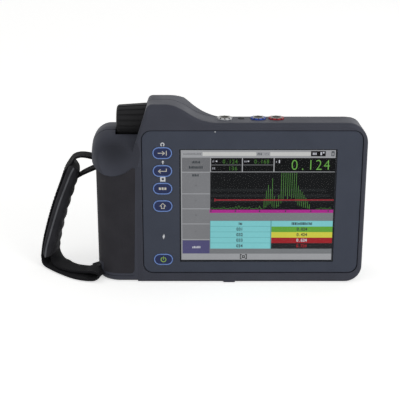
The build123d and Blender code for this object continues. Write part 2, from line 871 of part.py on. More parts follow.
# Rear housing: the shell behind the parting line, with the battery bay and the stand's lugs
with BuildPart() as rear_housing:
    add(shell.part)
    add(between(parting_y + gasket_thickness / 2, overall_depth), mode=Mode.INTERSECT)
    for side, leg_x in ((1, stand_left_x), (-1, stand_right_x)):
        lug_x = leg_x + side * (stand_pin_bend + lug_side_gap + lug_width / 2)
        add(rod((lug_x - lug_width / 2, stand_y, stand_pivot_z), (1, 0, 0), lug_radius, lug_width))
        add(block(lug_x - lug_width / 2, lug_x + lug_width / 2, back_y - wall / 2, stand_y,
                  stand_pivot_z - lug_radius, stand_pivot_z + lug_radius))
        add(rod((lug_x - lug_width, stand_y, stand_pivot_z), (1, 0, 0),
                stand_rod_radius + stand_pin_gap, 2 * lug_width), mode=Mode.SUBTRACT)
    add(block(bay_left_x, bay_right_x, bay_floor_y, back_y + 1, bay_bottom, bay_top),
        mode=Mode.SUBTRACT)
    add(
        plate(door_centre_x, door_centre_z, door_right_x - door_left_x + 2 * door_gap,
              door_top - door_bottom + 2 * door_gap, door_radius + door_gap,
              back_y - door_thickness, back_y + 1),
        mode=Mode.SUBTRACT,
    )
    with BuildPart(mode=Mode.PRIVATE) as bed:
        add(pad_bed.part)
        add(pad_zone(*pad_belts["rear_grip_pad"], pad_gap), mode=Mode.INTERSECT)
    add(bed.part, mode=Mode.SUBTRACT)
    add(foot_groove.part, mode=Mode.SUBTRACT)
    for x, z in door_screw_places:
        add(rod((x, back_y, z), (0, -1, 0), screw_radius + bar_hole_gap,
                door_screw_length + door_thickness), mode=Mode.SUBTRACT)
    for x, z in housing_screw_places:
        add(rod((x, 0, z), (0, 1, 0), screw_radius + screw_hole_gap, back_y), mode=Mode.SUBTRACT)
        add(rod((x, housing_screw_seat_y, z), (0, 1, 0), screw_head_radius + screw_hole_gap,
                grip_back_y), mode=Mode.SUBTRACT)
    add(bar_rod(upper_bar_x, upper_bar_y, upper_bar_z, bar_hole_gap), mode=Mode.SUBTRACT)
    add(bar_rod(lower_bar_x, lower_bar_y, lower_bar_z, bar_hole_gap), mode=Mode.SUBTRACT)
    add(rod((encoder_wall_x + 1, knob_axis_y, knob_axis_z), (-1, 0, 0),
            bushing_radius + bushing_gap, wall + 2), mode=Mode.SUBTRACT)
save(rear_housing.part, "rear_housing")

# Gasket between the two shells, drawn in from the skin
with BuildPart() as housing_gasket:
    add(housing_form(gasket_inset))
    add(cavity.part, mode=Mode.SUBTRACT)
    add(between(parting_y - gasket_thickness / 2, parting_y + gasket_thickness / 2),
        mode=Mode.INTERSECT)
    add(rod((left_x - 10, knob_axis_y, knob_axis_z), (1, 0, 0), knob_well_radius + gasket_inset,
            well_floor_x - left_x + 10 + gasket_inset), mode=Mode.SUBTRACT)
    add(bar_pocket(*lower_pocket, gasket_inset), mode=Mode.SUBTRACT)
    for x, z in housing_screw_places:
        add(rod((x, 0, z), (0, 1, 0), screw_radius + screw_hole_gap, back_y), mode=Mode.SUBTRACT)
save(housing_gasket.solids().sort_by(SortBy.VOLUME)[-1], "housing_gasket")

# Front panel with the window opening and five key openings
with BuildPart() as front_panel:
    add(plate(panel_centre_x, panel_centre_z, panel_width, panel_height, panel_radius,
              panel_front_y, panel_back_y))
    add(
        plate(screen_centre_x, screen_centre_z, window_width, window_height, 0.8,
              panel_front_y - 1, panel_back_y + 1),
        mode=Mode.SUBTRACT,
    )
    for z in key_places:
        add(pill(z, key_gap, panel_front_y - 1, panel_back_y + 1), mode=Mode.SUBTRACT)
    fillet(front_panel.faces().sort_by(Axis.Y)[0].outer_wire().edges(), panel_edge_radius)
save(front_panel.part, "front_panel")

# Clear window, display module and the frame that holds it against the ledge
save(
    plate(screen_centre_x, screen_centre_z, window_width - 2 * window_gap,
          window_height - 2 * window_gap, 0.6, panel_front_y + window_set_back, panel_back_y),
    "display_window",
)
save(
    plate(screen_centre_x, screen_centre_z, module_width, module_height, 0.6,
          panel_back_y, module_back_y),
    "display_module",
)
with BuildPart() as display_frame:
    add(plate(screen_centre_x, screen_centre_z, module_width + 2 * display_frame_rim,
              module_height + 2 * display_frame_rim, 1.5, ledge_back_y, frame_back_y))
    add(
        plate(screen_centre_x, screen_centre_z, module_width, module_height, 0.6,
              ledge_back_y - 1, module_back_y),
        mode=Mode.SUBTRACT,
    )
    for x in (board_left_x + standoff_inset, board_right_x - standoff_inset):
        for z in (board_bottom + standoff_inset, board_top - standoff_inset):
            add(rod((x, module_back_y, z), (0, 1, 0), standoff_radius,
                    board_back_y - board_thickness - module_back_y))
save(display_frame.part, "display_frame")

# Main board with its shield can
save(block(board_left_x, board_right_x, board_back_y - board_thickness, board_back_y,
           board_bottom, board_top), "main_board")
board_front_y = board_back_y - board_thickness
board_centre_x = (board_left_x + board_right_x) / 2
board_centre_z = (board_bottom + board_top) / 2
with BuildPart() as board_shield:
    add(plate(board_centre_x, board_centre_z, shield_width, shield_height, 2,
              board_front_y - shield_depth, board_front_y))
    add(
        plate(board_centre_x, board_centre_z, shield_width - 0.8, shield_height - 0.8, 1.6,
              board_front_y - shield_depth + 0.4, board_front_y + 1),
        mode=Mode.SUBTRACT,
    )
save(board_shield.part, "board_shield")

# Keys: pills with a flange behind the panel
key_front_y = panel_front_y - key_proud
for name, z in zip(key_names, key_places):
    with BuildPart() as key:
        add(pill(z, 0, key_front_y, panel_back_y + key_flange_gap))
        add(pill(z, key_flange, panel_back_y + key_flange_gap,
                 panel_back_y + key_flange_gap + key_flange_thickness))
        fillet(key.faces().sort_by(Axis.Y)[0].edges(), key_edge_radius)
    save(key.part, name)

# Keypad mat in the opening, on the keypad board behind the ledge
save(
    plate(key_x, keypad_centre_z, keypad_opening_width - 2 * ledge_gap,
          keypad_opening_height - 2 * ledge_gap, 2.7, ledge_back_y - keypad_mat_thickness,
          ledge_back_y),
    "keypad_mat",
)
save(
    plate(key_x, keypad_centre_z, keypad_opening_width + 2 * keypad_board_margin,
          keypad_opening_height + 2 * keypad_board_margin, 2, ledge_back_y,
          ledge_back_y + keypad_board_thickness),
    "keypad_board",
)

# Knob: a fluted rubber sleeve over a hard core, on the encoder's shaft
knob_right_x = knob_left_x + knob_length
knob_axis = Axis((0, knob_axis_y, knob_axis_z), (1, 0, 0))
knob_taper = knob_base_radius - knob_tip_radius
with BuildPart() as knob_sleeve:
    with BuildSketch(Plane.XZ.offset(-knob_axis_y)) as profile:
        with BuildLine():
            Polyline(
                (knob_left_x, knob_axis_z),
                (knob_left_x, knob_axis_z + knob_tip_radius),
                (knob_right_x, knob_axis_z + knob_base_radius),
                (knob_right_x, knob_axis_z + core_radius + core_gap),
                (knob_left_x + core_end_wall, knob_axis_z + core_radius + core_gap),
                (knob_left_x + core_end_wall, knob_axis_z),
                close=True,
            )
        make_face()
        tip = profile.vertices().filter_by(
            lambda v: v.X < knob_left_x + 0.1 and v.Y > knob_axis_z + 1)
        fillet(tip, knob_tip_round)
    revolve(axis=knob_axis)
    for turn in range(flute_count):
        angle = radians(360 / flute_count * turn)
        up = (0, sin(angle), cos(angle))
        start = (
            knob_left_x - 1,
            knob_axis_y + up[1] * (knob_tip_radius - flute_depth + flute_width / 2),
            knob_axis_z + up[2] * (knob_tip_radius - flute_depth + flute_width / 2),
        )
        run = (knob_length, up[1] * knob_taper, up[2] * knob_taper)
        add(rod(start, run, flute_width / 2, knob_length + 4), mode=Mode.SUBTRACT)
save(knob_sleeve.part, "knob_sleeve")

with BuildPart() as knob_core:
    add(rod((knob_left_x + core_end_wall, knob_axis_y, knob_axis_z), (1, 0, 0), core_radius,
            knob_length - core_end_wall))
    add(rod((knob_right_x + 1, knob_axis_y, knob_axis_z), (-1, 0, 0), nut_recess_radius,
            nut_recess_depth + 1), mode=Mode.SUBTRACT)
    add(rod((knob_right_x, knob_axis_y, knob_axis_z), (-1, 0, 0), shaft_radius + core_gap,
            shaft_length_in_knob + core_gap), mode=Mode.SUBTRACT)
save(knob_core.part, "knob_core")

encoder_back_x = encoder_wall_x + encoder_body_depth
save(
    rod((encoder_back_x - 2, knob_axis_y, knob_axis_z), (-1, 0, 0), shaft_radius,
        encoder_back_x - 2 - knob_right_x + shaft_length_in_knob),
    "encoder_shaft",
)
with BuildPart() as encoder_body:
    with Locations((encoder_wall_x + encoder_body_depth / 2, knob_axis_y, knob_axis_z)):
        Box(encoder_body_depth, encoder_body_size, encoder_body_size)
    add(rod((encoder_wall_x, knob_axis_y, knob_axis_z), (-1, 0, 0), bushing_radius,
            wall + bushing_length))
    add(rod((encoder_back_x - 1.5, knob_axis_y, knob_axis_z), (-1, 0, 0),
            shaft_radius + shaft_bore_gap, 3 * encoder_body_depth), mode=Mode.SUBTRACT)
save(encoder_body.part, "encoder_body")
with BuildPart() as encoder_nut:
    with BuildSketch(Plane.YZ.offset(well_floor_x - encoder_nut_thickness)):
        with Locations((knob_axis_y, knob_axis_z)):
            RegularPolygon(encoder_nut_width / 2, 6, major_radius=False)
            Circle(bushing_radius + core_gap, mode=Mode.SUBTRACT)
    extrude(amount=encoder_nut_thickness)
save(encoder_nut.part, "encoder_nut")

# Probe sockets on the top face, each with a coloured ring, an insert and a nut inside
socket_top_z = body_height + socket_rim_height
inserts = []
nuts = []
for name, x in socket_x.items():
    with BuildPart() as socket:
        add(tube((x, socket_y, socket_top_z), (0, 0, -1), socket_outer_radius,
                 socket_seat_radius, socket_depth))
        add(rod((x, socket_y, socket_top_z), (0, 0, -1), socket_bore_radius, socket_bore_depth),
            mode=Mode.SUBTRACT)
        rim = socket.edges().filter_by(GeomType.CIRCLE).group_by(Axis.Z)[-1]
        chamfer(rim, socket_chamfer)
    save(socket.part, f"{name}_socket")
    with BuildPart() as ring:
        add(tube((x, socket_y, body_height - ring_seat_depth), (0, 0, 1), ring_radius,
                 ring_bore_radius, ring_seat_depth + ring_height))
        fillet(ring.edges().filter_by(GeomType.CIRCLE).group_by(Axis.Z)[-1].sort_by(
            SortBy.LENGTH)[-1], ring_edge_radius)
    save(ring.part, f"{name}_ring")
    with BuildPart() as insert:
        add(rod((x, socket_y, socket_top_z - socket_depth), (0, 0, 1),
                socket_seat_radius - core_gap, socket_depth - socket_bore_depth))
        add(rod((x, socket_y, socket_top_z - socket_bore_depth), (0, 0, -1), contact_radius,
                contact_depth), mode=Mode.SUBTRACT)
    inserts.append(insert.part)
    with BuildPart() as nut:
        with BuildSketch(Plane.XY.offset(body_height - wall)):
            with Locations((x, socket_y)):
                RegularPolygon(socket_nut_width / 2, 6, major_radius=False)
                Circle(socket_outer_radius + core_gap, mode=Mode.SUBTRACT)
        extrude(amount=-socket_nut_thickness)
    nuts.append(nut.part)
save(Compound(children=inserts), "socket_inserts")
save(Compound(children=nuts), "socket_nuts")
with BuildPart() as vent_plug:
    add(rod((vent_x, socket_y, body_height + vent_rise - vent_thickness), (0, 0, 1), vent_radius,
            vent_thickness))
    fillet(vent_plug.edges().group_by(Axis.Z)[-1], vent_rise)
save(vent_plug.part, "vent_plug")

# Battery pack in its bay, the door over it, and the door's screws
save(
    plate((bay_left_x + bay_right_x) / 2, (bay_bottom + bay_top) / 2,
          bay_right_x - bay_left_x - 2 * battery_gap, bay_top - bay_bottom - 2 * battery_gap, 3,
          bay_floor_y, back_y - door_thickness - battery_gap),
    "battery_pack",
)


def screw(x, z, seat_y, length):
    """A slotted screw that points to the front, its head's top behind the seat."""
    with BuildPart() as made:
        add(rod((x, seat_y, z), (0, 1, 0), screw_head_radius, screw_head_height))
        add(rod((x, seat_y, z), (0, -1, 0), screw_radius, length))
        with Locations((x, seat_y + screw_head_height, z)):
            Box(screw_slot_width, 2 * screw_slot_depth, 3 * screw_head_radius, mode=Mode.SUBTRACT)
    return made.part


door_seat_y = back_y - screw_head_height
with BuildPart() as battery_door:
    add(plate(door_centre_x, door_centre_z, door_right_x - door_left_x, door_top - door_bottom,
              door_radius, back_y - door_thickness, back_y))
    for step in range(door_grip_ribs):
        x = door_centre_x + (step - (door_grip_ribs - 1) / 2) * door_grip_pitch
        with Locations((x, back_y, door_top - door_grip_drop)):
            Box(door_grip_pitch / 2, 2 * door_grip_depth, door_grip_height, mode=Mode.SUBTRACT)
    for x, z in door_screw_places:
        add(rod((x, door_seat_y, z), (0, 1, 0), screw_head_radius + screw_hole_gap, door_thickness),
            mode=Mode.SUBTRACT)
        add(rod((x, 0, z), (0, 1, 0), screw_radius + screw_hole_gap, back_y), mode=Mode.SUBTRACT)
save(battery_door.part, "battery_door")
save(
    Compound(children=[screw(x, z, door_seat_y, door_screw_length) for x, z in door_screw_places]),
    "battery_door_screws",
)
save(
    Compound(children=[
        screw(x, z, housing_screw_seat_y, housing_screw_length) for x, z in housing_screw_places
    ]),
    "housing_screws",
)

# Fold-out stand: one bent rod whose turned-in ends sit in the lugs
with BuildPart() as stand:
    with BuildLine(Plane.XZ.offset(-stand_y)) as route:
        FilletPolyline(
            (stand_left_x + stand_pin_length, stand_pivot_z),
            (stand_left_x, stand_pivot_z),
            (stand_left_x, stand_foot_z),
            (stand_right_x, stand_foot_z),
            (stand_right_x, stand_pivot_z),
            (stand_right_x - stand_pin_length, stand_pivot_z),
            radius=[stand_pin_bend, stand_bend_radius, stand_bend_radius, stand_pin_bend],
        )
    with BuildSketch(Plane(origin=route.line @ 0, z_dir=route.line % 0)):
        Circle(stand_rod_radius)
    sweep()
save(stand.part, "stand")

# Port door on its pin, and the block of ports behind it
with BuildPart() as port_door:
    add(
        block(right_x - port_door_thickness, right_x, port_door_front_y, port_hinge_y,
              port_door_bottom, port_door_top)
    )
    add(rod((port_hinge_x, port_hinge_y, port_door_bottom), (0, 0, 1), port_door_thickness / 2,
            port_door_top - port_door_bottom))
    add(rod((right_x + port_notch_rise, port_door_front_y, port_centre_z), (0, 0, 1),
            port_notch_radius, port_notch_length), mode=Mode.SUBTRACT)
    add(rod((port_hinge_x, port_hinge_y, port_door_bottom - 1), (0, 0, 1),
            port_pin_radius + port_pin_gap, port_door_top - port_door_bottom + 2),
        mode=Mode.SUBTRACT)
save(port_door.part, "port_door")
save(
    rod((port_hinge_x, port_hinge_y, port_door_bottom - port_land), (0, 0, 1), port_pin_radius,
        port_door_top - port_door_bottom + 2 * port_land),
    "port_door_pin",
)
block_face_x = port_floor_x + port_block_thickness
with BuildPart() as port_block:
    add(
        block(port_floor_x, block_face_x, port_door_front_y + port_recess_margin + window_gap,
              port_door_back_y - port_recess_margin - window_gap,
              port_door_bottom + port_recess_margin + window_gap,
              port_door_top - port_recess_margin - window_gap)
    )
    with Locations((block_face_x, port_centre_y, port_centre_z - port_pitch)):
        Box(2 * usb_depth, usb_height, usb_width, mode=Mode.SUBTRACT)
    with Locations((block_face_x, port_centre_y, port_centre_z + port_pitch)):
        Box(2 * card_slot_depth, card_slot_height, card_slot_width, mode=Mode.SUBTRACT)
save(port_block.part, "port_block")

# Strap bars
save(bar_rod(upper_bar_x, upper_bar_y, upper_bar_z, 0), "upper_strap_bar")
save(bar_rod(lower_bar_x, lower_bar_y, lower_bar_z, 0), "lower_strap_bar")


def wrap_run(bar_x, bar_y, bar_z, first, last, count):
    """Stations of a webbing that turns round a bar, between two angles in degrees."""
    turn_radius = bar_radius + strap_gap + webbing_thickness / 2
    angles = [radians(first + (last - first) * step / (count - 1)) for step in range(count)]
    return [
        (bar_x + turn_radius * cos(angle), bar_y, bar_z + turn_radius * sin(angle), 0.0)
        for angle in angles
    ]


def band(stations, width, thickness, shift=0.0):
    """A flat band through stations, moved off its middle line by a shift."""
    places = [Vector(x, y, z) for x, y, z, turn in stations]
    planes = []
    for index, (x, y, z, turn) in enumerate(stations):
        ahead = places[min(index + 1, len(places) - 1)]
        behind = places[max(index - 1, 0)]
        along = (ahead - behind).normalized()
        across = Vector(sin(radians(turn)), cos(radians(turn)), 0)
        across = (across - along * across.dot(along)).normalized()
        centre = places[index] + across.cross(along) * shift
        planes.append(Plane(origin=centre, x_dir=across, z_dir=along))
    with BuildPart() as made:
        for plane in planes:
            with BuildSketch(plane):
                Rectangle(width, thickness)
        loft(ruled=True)
    return made.part


def shifted(stations, shift):
    """The same stations moved off a middle line to one side."""
    places = [Vector(x, y, z) for x, y, z, turn in stations]
    moved = []
    for index, (x, y, z, turn) in enumerate(stations):
        ahead = places[min(index + 1, len(places) - 1)]
        behind = places[max(index - 1, 0)]
        along = (ahead - behind).normalized()
        across = Vector(sin(radians(turn)), cos(radians(turn)), 0)
        across = (across - along * across.dot(along)).normalized()
        place = places[index] + across.cross(along) * shift
        moved.append((place.X, place.Y, place.Z, turn))
    return moved


# Strap: a padded sleeve, with webbing outside it from the upper bar and inside it from the lower
webbing_offset = sleeve_thickness / 2 + strap_gap + webbing_thickness / 2
outside_run = shifted(sleeve_run[1:], webbing_offset)
upper_wrap = wrap_run(upper_bar_x, upper_bar_y, upper_bar_z, -110, 90, 7)
lower_wrap = wrap_run(lower_bar_x, lower_bar_y, lower_bar_z, -90, 90, 7)
save(band(sleeve_run, sleeve_width, sleeve_thickness), "strap_sleeve")
save(
    band(tail_run + upper_wrap + over_run + outside_run + floor_run, webbing_width,
         webbing_thickness),
    "strap_webbing",
)
save(
    band(under_run + lower_wrap + lower_tail_run, webbing_width, webbing_thickness),
    "strap_lower_webbing",
)
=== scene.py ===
import math
import random

import bmesh
import bpy
from bpy.props import FloatProperty, FloatVectorProperty, IntProperty, PointerProperty
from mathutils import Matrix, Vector


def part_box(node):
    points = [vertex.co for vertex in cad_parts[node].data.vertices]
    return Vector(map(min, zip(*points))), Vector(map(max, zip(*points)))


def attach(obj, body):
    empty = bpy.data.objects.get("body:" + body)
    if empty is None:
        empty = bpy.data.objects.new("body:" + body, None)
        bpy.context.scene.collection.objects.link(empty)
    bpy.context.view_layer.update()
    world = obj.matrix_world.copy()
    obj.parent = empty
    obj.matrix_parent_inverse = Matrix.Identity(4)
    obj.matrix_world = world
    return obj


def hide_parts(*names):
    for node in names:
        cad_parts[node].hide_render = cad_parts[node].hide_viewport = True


bl_info = {
    "name": "Hand-Held Flaw Detector",
    "version": (1, 0, 0),
    "blender": (4, 5, 0),
    "location": "3D View > Sidebar > Detector",
    "description": "Dresses the packed solids of a hand-held ultrasonic flaw detector",
    "category": "Object",
}

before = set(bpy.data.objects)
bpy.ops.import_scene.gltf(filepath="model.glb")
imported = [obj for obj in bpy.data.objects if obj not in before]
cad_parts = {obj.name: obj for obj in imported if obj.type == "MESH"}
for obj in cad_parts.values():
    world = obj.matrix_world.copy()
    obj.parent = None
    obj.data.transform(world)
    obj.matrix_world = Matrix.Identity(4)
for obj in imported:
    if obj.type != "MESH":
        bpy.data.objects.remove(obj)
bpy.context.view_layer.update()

MM = 0.001
HOUSING_BODY = "housing"
# Middle of the thumb rest's dish on the housing, where shade is painted into the housing's colour,
# in mm
THUMB_DISH_SHADE_CENTRE = (-89.5, -18.0, 105.0)
KEY_BODIES = ("key_tab", "key_enter", "key_escape", "key_home", "key_power")
# Where the keys' column stands from left to right, in mm
KEY_COLUMN = -51.5
# The pale rim of a key: how much shorter it is than its key, how far it stands out and goes
# in, and its rounded edge, in mm
RIM_INSET = 1.8
RIM_OUT = 0.1
RIM_IN = 0.9
RIM_ROUND = 0.12
# Grip notches of a socket's ring: their number, half their width, their depth and height above
# the ring in mm, and where they start and end as shares of the ring's radius
NOTCHES = 10
NOTCH_HALF = 0.55
NOTCH_DEPTH = 0.5
NOTCH_HEIGHT = 0.04
NOTCH_REACH = (0.8, 1.005)
# Steps of a pill's end and of an arc
PILL_STEPS = 10
ARC_STEPS = 16

# The lit picture on the display's face, behind the clear window, in mm. Its fields lie on
# each other in thin layers, with the trace and the digits on top.
SCREEN_LEFT = -37.5
SCREEN_BOTTOM = 18.05
PICTURE_WIDTH = 117.4
PICTURE_HEIGHT = 88.7
WINDOW_MARGIN = 1.2
LAYER_STEP = 0.02
LAYER_THICKNESS = 0.01
TRACE_LIFT = 0.06
DIGIT_LIFT = 0.09
# Height and width of the built-in face's digits, against its size
DIGIT_HEIGHT = 0.69
DIGIT_WIDTH = 0.92
# Right edge of the menu column and lower edge of the head bar on the picture, in mm
MENU_EDGE = 22.4
HEAD_FOOT = 82.9

# Light that the room gives the object, light that the floor shows of its own, and the lamps:
# name, place in metres, size in metres and power in watts
ROOM_LIGHT = 0.42
FLOOR_GLOW = 0.58
LAMPS = (
    ("top_softbox", (0.3, -0.8, 1.1), 1.0, 0.8),
    ("left_softbox", (-1.1, -0.9, 0.7), 0.8, 0.75),
    ("right_softbox", (1.0, -1.1, 0.6), 0.8, 6.0),
    ("back_softbox", (1.2, 1.3, 0.25), 0.7, 1.6),
)
# The point that the lamps face, and how far the floor reaches from the middle, in metres
LAMP_TARGET = Vector((0.0, 0.0, 0.06))
FLOOR_REACH = 6.0
# The photograph's camera: place in metres, tilt in degrees, lens in mm and upward shift
CAMERA_PLACE = (-0.02295, -0.7353, 0.2947)
CAMERA_TILT = 72.0
CAMERA_LENS = 87.9
CAMERA_SHIFT = 0.01575


def linear(code):
    """An sRGB hex colour as linear red, green, blue and alpha."""
    parts = [int(code[at:at + 2], 16) / 255 for at in (1, 3, 5)]
    return tuple(
        part / 12.92 if part <= 0.04045 else ((part + 0.055) / 1.055) ** 2.4 for part in parts
    ) + (1.0,)


class DetectorSizes(bpy.types.PropertyGroup):
    """Sizes that the pieces of the scene are made from"""

    print_height: FloatProperty(
        name="Print height", description="How far a printed mark stands on its ground",
        default=0.06 * MM, min=0.01 * MM, max=0.3 * MM, precision=5, unit="LENGTH")
    key_rim_width: FloatProperty(
        name="Key rim", description="Width of the pale rim round each key",
        default=0.8 * MM, min=0.3 * MM, max=2.0 * MM, precision=5, unit="LENGTH")
    sleeve_width: FloatProperty(
        name="Sleeve width", description="Width of the padded sleeve on the strap",
        default=25.4 * MM, min=15.0 * MM, max=26.0 * MM, precision=5, unit="LENGTH")
    sleeve_thickness: FloatProperty(
        name="Sleeve thickness", description="Thickness of the padded sleeve",
        default=9.0 * MM, min=3.0 * MM, max=10.0 * MM, precision=5, unit="LENGTH")
    webbing_width: FloatProperty(
        name="Webbing width", description="Width of the woven strap",
        default=16.0 * MM, min=10.0 * MM, max=16.0 * MM, precision=5, unit="LENGTH")
    webbing_thickness: FloatProperty(
        name="Webbing thickness", description="Thickness of the woven strap",
        default=1.7 * MM, min=1.0 * MM, max=1.8 * MM, precision=5, unit="LENGTH")
    stitch_length: FloatProperty(
        name="Stitch length", description="Length of one stitch along a seam",
        default=2.4 * MM, min=1.0 * MM, max=4.0 * MM, precision=5, unit="LENGTH")
    thread_radius: FloatProperty(
        name="Thread radius", description="Radius of the sewing thread",
        default=0.28 * MM, min=0.1 * MM, max=0.5 * MM, precision=5, unit="LENGTH")
    trace_seed: IntProperty(
        name="Trace seed", description="Start of the random noise in the screen's trace",
        default=7, min=0)


class DetectorColours(bpy.types.PropertyGroup):
    """Main colours of the object and its floor"""

    housing: FloatVectorProperty(
        name="Housing", description="Moulded slate housing", size=4, min=0.0, max=1.0,
        default=linear("#464852"), subtype="COLOR")
    panel: FloatVectorProperty(
        name="Panel", description="Hard-coated front panel", size=4, min=0.0, max=1.0,
        default=linear("#474C59"), subtype="COLOR")
    grip: FloatVectorProperty(
        name="Grip", description="Rubber pads of the grip", size=4, min=0.0, max=1.0,
        default=linear("#313035"), subtype="COLOR")
    key_rim: FloatVectorProperty(
        name="Key rim", description="Pale blue rim round each key", size=4, min=0.0, max=1.0,
        default=linear("#7E9CDC"), subtype="COLOR")
    key_face: FloatVectorProperty(
        name="Key face", description="Dark blue face of each key", size=4, min=0.0, max=1.0,
        default=linear("#28325A"), subtype="COLOR")
    webbing: FloatVectorProperty(
        name="Webbing", description="Black woven strap", size=4, min=0.0, max=1.0,
        default=linear("#17171A"), subtype="COLOR")
    sleeve: FloatVectorProperty(
        name="Sleeve", description="Padded sleeve's cloth", size=4, min=0.0, max=1.0,
        default=linear("#333337"), subtype="COLOR")
    # The binding is a real tape; its pale grey is partly a painted highlight along the sleeve's
    # edges
    binding: FloatVectorProperty(
        name="Binding", description="Tape round the sleeve's edges", size=4, min=0.0, max=1.0,
        default=linear("#6A6B70"), subtype="COLOR")
    floor: FloatVectorProperty(
        name="Floor", description="Pale floor", size=4, min=0.0, max=1.0,
        default=linear("#F4F4F2"), subtype="COLOR")


def add_node(tree, kind, settings=None, inputs=None, stops=()):
    """Adds one shader node with its settings, the stops of its ramp, its values and its links.
    A link is given as a socket, or as a node for that node's first socket."""
    made = tree.nodes.new(kind)
    for name, value in (settings or {}).items():
        setattr(made, name, value)
    for at, (place, colour) in enumerate(stops):
        made.color_ramp.elements[at].position = place
        made.color_ramp.elements[at].color = colour
    for name, value in (inputs or {}).items():
        if isinstance(value, bpy.types.Node):
            value = value.outputs[0]
        if isinstance(value, bpy.types.NodeSocket):
            tree.links.new(value, made.inputs[name])
        else:
            made.inputs[name].default_value = value
    return made


def per_mm(size):
    """A pattern's scale from the size of its lumps or lines in millimetres."""
    return 1 / (size * MM)


def bands_per_mm(pitch):
    """A wave pattern's scale from the pitch of its lines in millimetres."""
    return 1 / (pitch * MM) * math.pi / 10 / 2


def grey(level):
    """A plain grey as red, green, blue and alpha."""
    return (level, level, level, 1.0)


def shades(tone, spread, low=0.3, high=0.7):
    """Stops between two shades of one colour, a little darker and a little lighter."""
    return [(place, tuple(part * share for part in tone[:3]) + (1.0,))
            for place, share in ((low, 1 - spread), (high, 1 + spread))]


def gloss_steps(dull, bright, low=0.3, high=0.7):
    """Stops between two values of roughness."""
    return [(low, grey(dull)), (high, grey(bright))]


def start_material(name):
    """A new material with an empty tree, and the place on the object that its patterns follow."""
    made = bpy.data.materials.new(name)
    made.use_nodes = True
    made.node_tree.nodes.clear()
    place = add_node(made.node_tree, "ShaderNodeTexCoord").outputs["Object"]
    return made, made.node_tree, place


def close_material(made, shader):
    """Joins the finished shader to the material's surface."""
    add_node(made.node_tree, "ShaderNodeOutputMaterial", inputs={"Surface": shader})
    return made


def clouds(tree, place, size_mm, detail, shade_stops, gloss_stops):
    """The colour and the gloss of a surface that handling has made a little uneven, in clouds
    of one size."""
    wear_and_painted_shade = add_node(tree, "ShaderNodeTexNoise", inputs={
        "Vector": place, "Scale": per_mm(size_mm), "Detail": detail})
    return [add_node(tree, "ShaderNodeValToRGB", inputs={"Fac": wear_and_painted_shade}, stops=stops)
            for stops in (shade_stops, gloss_stops)]


def grain(tree, place, size_mm, depth_mm, detail=2.0, harshness=0.5):
    """A relief of fine lumps, from their size and depth in millimetres."""
    lumps = add_node(tree, "ShaderNodeTexNoise", inputs={
        "Vector": place, "Scale": per_mm(size_mm), "Detail": detail, "Roughness": harshness})
    return add_node(tree, "ShaderNodeBump", inputs={"Height": lumps, "Distance": depth_mm * MM})


def moulded_polycarbonate(name, tone, rough, grain_mm=0.55, depth_mm=0.035, rubbed_at=None):
    """Polycarbonate blend, injection moulded in a spark-eroded tool: a fine even grain that
    spreads the light and dulls its gloss, with faintly polished patches where hands rub it.
    The tool's grain of about 0.1 mm is drawn coarser so that it shows. Round the thumb rest's
    dish, painted shade darkens the colour in a round patch of 19 mm radius."""
    made, tree, place = start_material(name)
    colour, gloss = clouds(tree, place, 22.0, 3.0, shades(tone, 0.05),
                           gloss_steps(rough + 0.05, rough - 0.05))
    relief = grain(tree, place, grain_mm, depth_mm, 3.0, 0.6)
    # Painted shade: a darker round patch over the thumb rest's dish stands in for the dish's
    # shading
    if rubbed_at:
        away = add_node(tree, "ShaderNodeVectorMath", {"operation": "DISTANCE"}, {
            0: place, 1: [part * MM for part in rubbed_at]})
        wear_and_painted_shade = add_node(tree, "ShaderNodeMapRange", {"interpolation_type": "SMOOTHSTEP"}, {
            "Value": away.outputs["Value"], "From Min": 3.0 * MM, "From Max": 19.0 * MM,
            "To Min": 0.62, "To Max": 0.0})
        colour = add_node(tree, "ShaderNodeMixRGB", {"blend_type": "MULTIPLY"}, {
            "Fac": wear_and_painted_shade, "Color1": colour, "Color2": grey(0.12)})
    return close_material(made, add_node(tree, "ShaderNodeBsdfPrincipled", inputs={
        "Base Color": colour, "Roughness": gloss, "IOR": 1.58, "Specular IOR Level": 0.1,
        "Normal": relief}))


def overmoulded_rubber(name, tone, rough=0.62, grain_mm=0.9, depth_mm=0.05):
    """Thermoplastic rubber, overmoulded with a matt stipple of round dots: dark and soft, with
    a dull sheen that goes to grey where the light grazes it."""
    made, tree, place = start_material(name)
    colour, gloss = clouds(tree, place, 14.0, 4.0, shades(tone, 0.09),
                           gloss_steps(rough + 0.06, rough - 0.05))
    dots = add_node(tree, "ShaderNodeTexVoronoi", inputs={
        "Vector": place, "Scale": per_mm(grain_mm)})
    relief = add_node(tree, "ShaderNodeBump", inputs={
        "Height": dots.outputs["Distance"], "Distance": depth_mm * MM})
    return close_material(made, add_node(tree, "ShaderNodeBsdfPrincipled", inputs={
        "Base Color": colour, "Roughness": gloss, "IOR": 1.5, "Specular IOR Level": 0.14,
        "Sheen Weight": 0.05, "Sheen Roughness": 0.5, "Normal": relief}))


def moulded_silicone(name, tone, rough=0.5):
    """Silicone rubber, moulded in a blasted tool: smooth, with a soft film of gloss on it. The
    blast's grain of about 0.1 mm is drawn at half a millimetre so that it shows."""
    made, tree, place = start_material(name)
    colour, gloss = clouds(tree, place, 4.0, 3.0, shades(tone, 0.07),
                           gloss_steps(rough + 0.05, rough - 0.05))
    relief = grain(tree, place, 0.5, 0.01)
    return close_material(made, add_node(tree, "ShaderNodeBsdfPrincipled", inputs={
        "Base Color": colour, "Roughness": gloss, "IOR": 1.43, "Specular IOR Level": 0.3,
        "Normal": relief}))


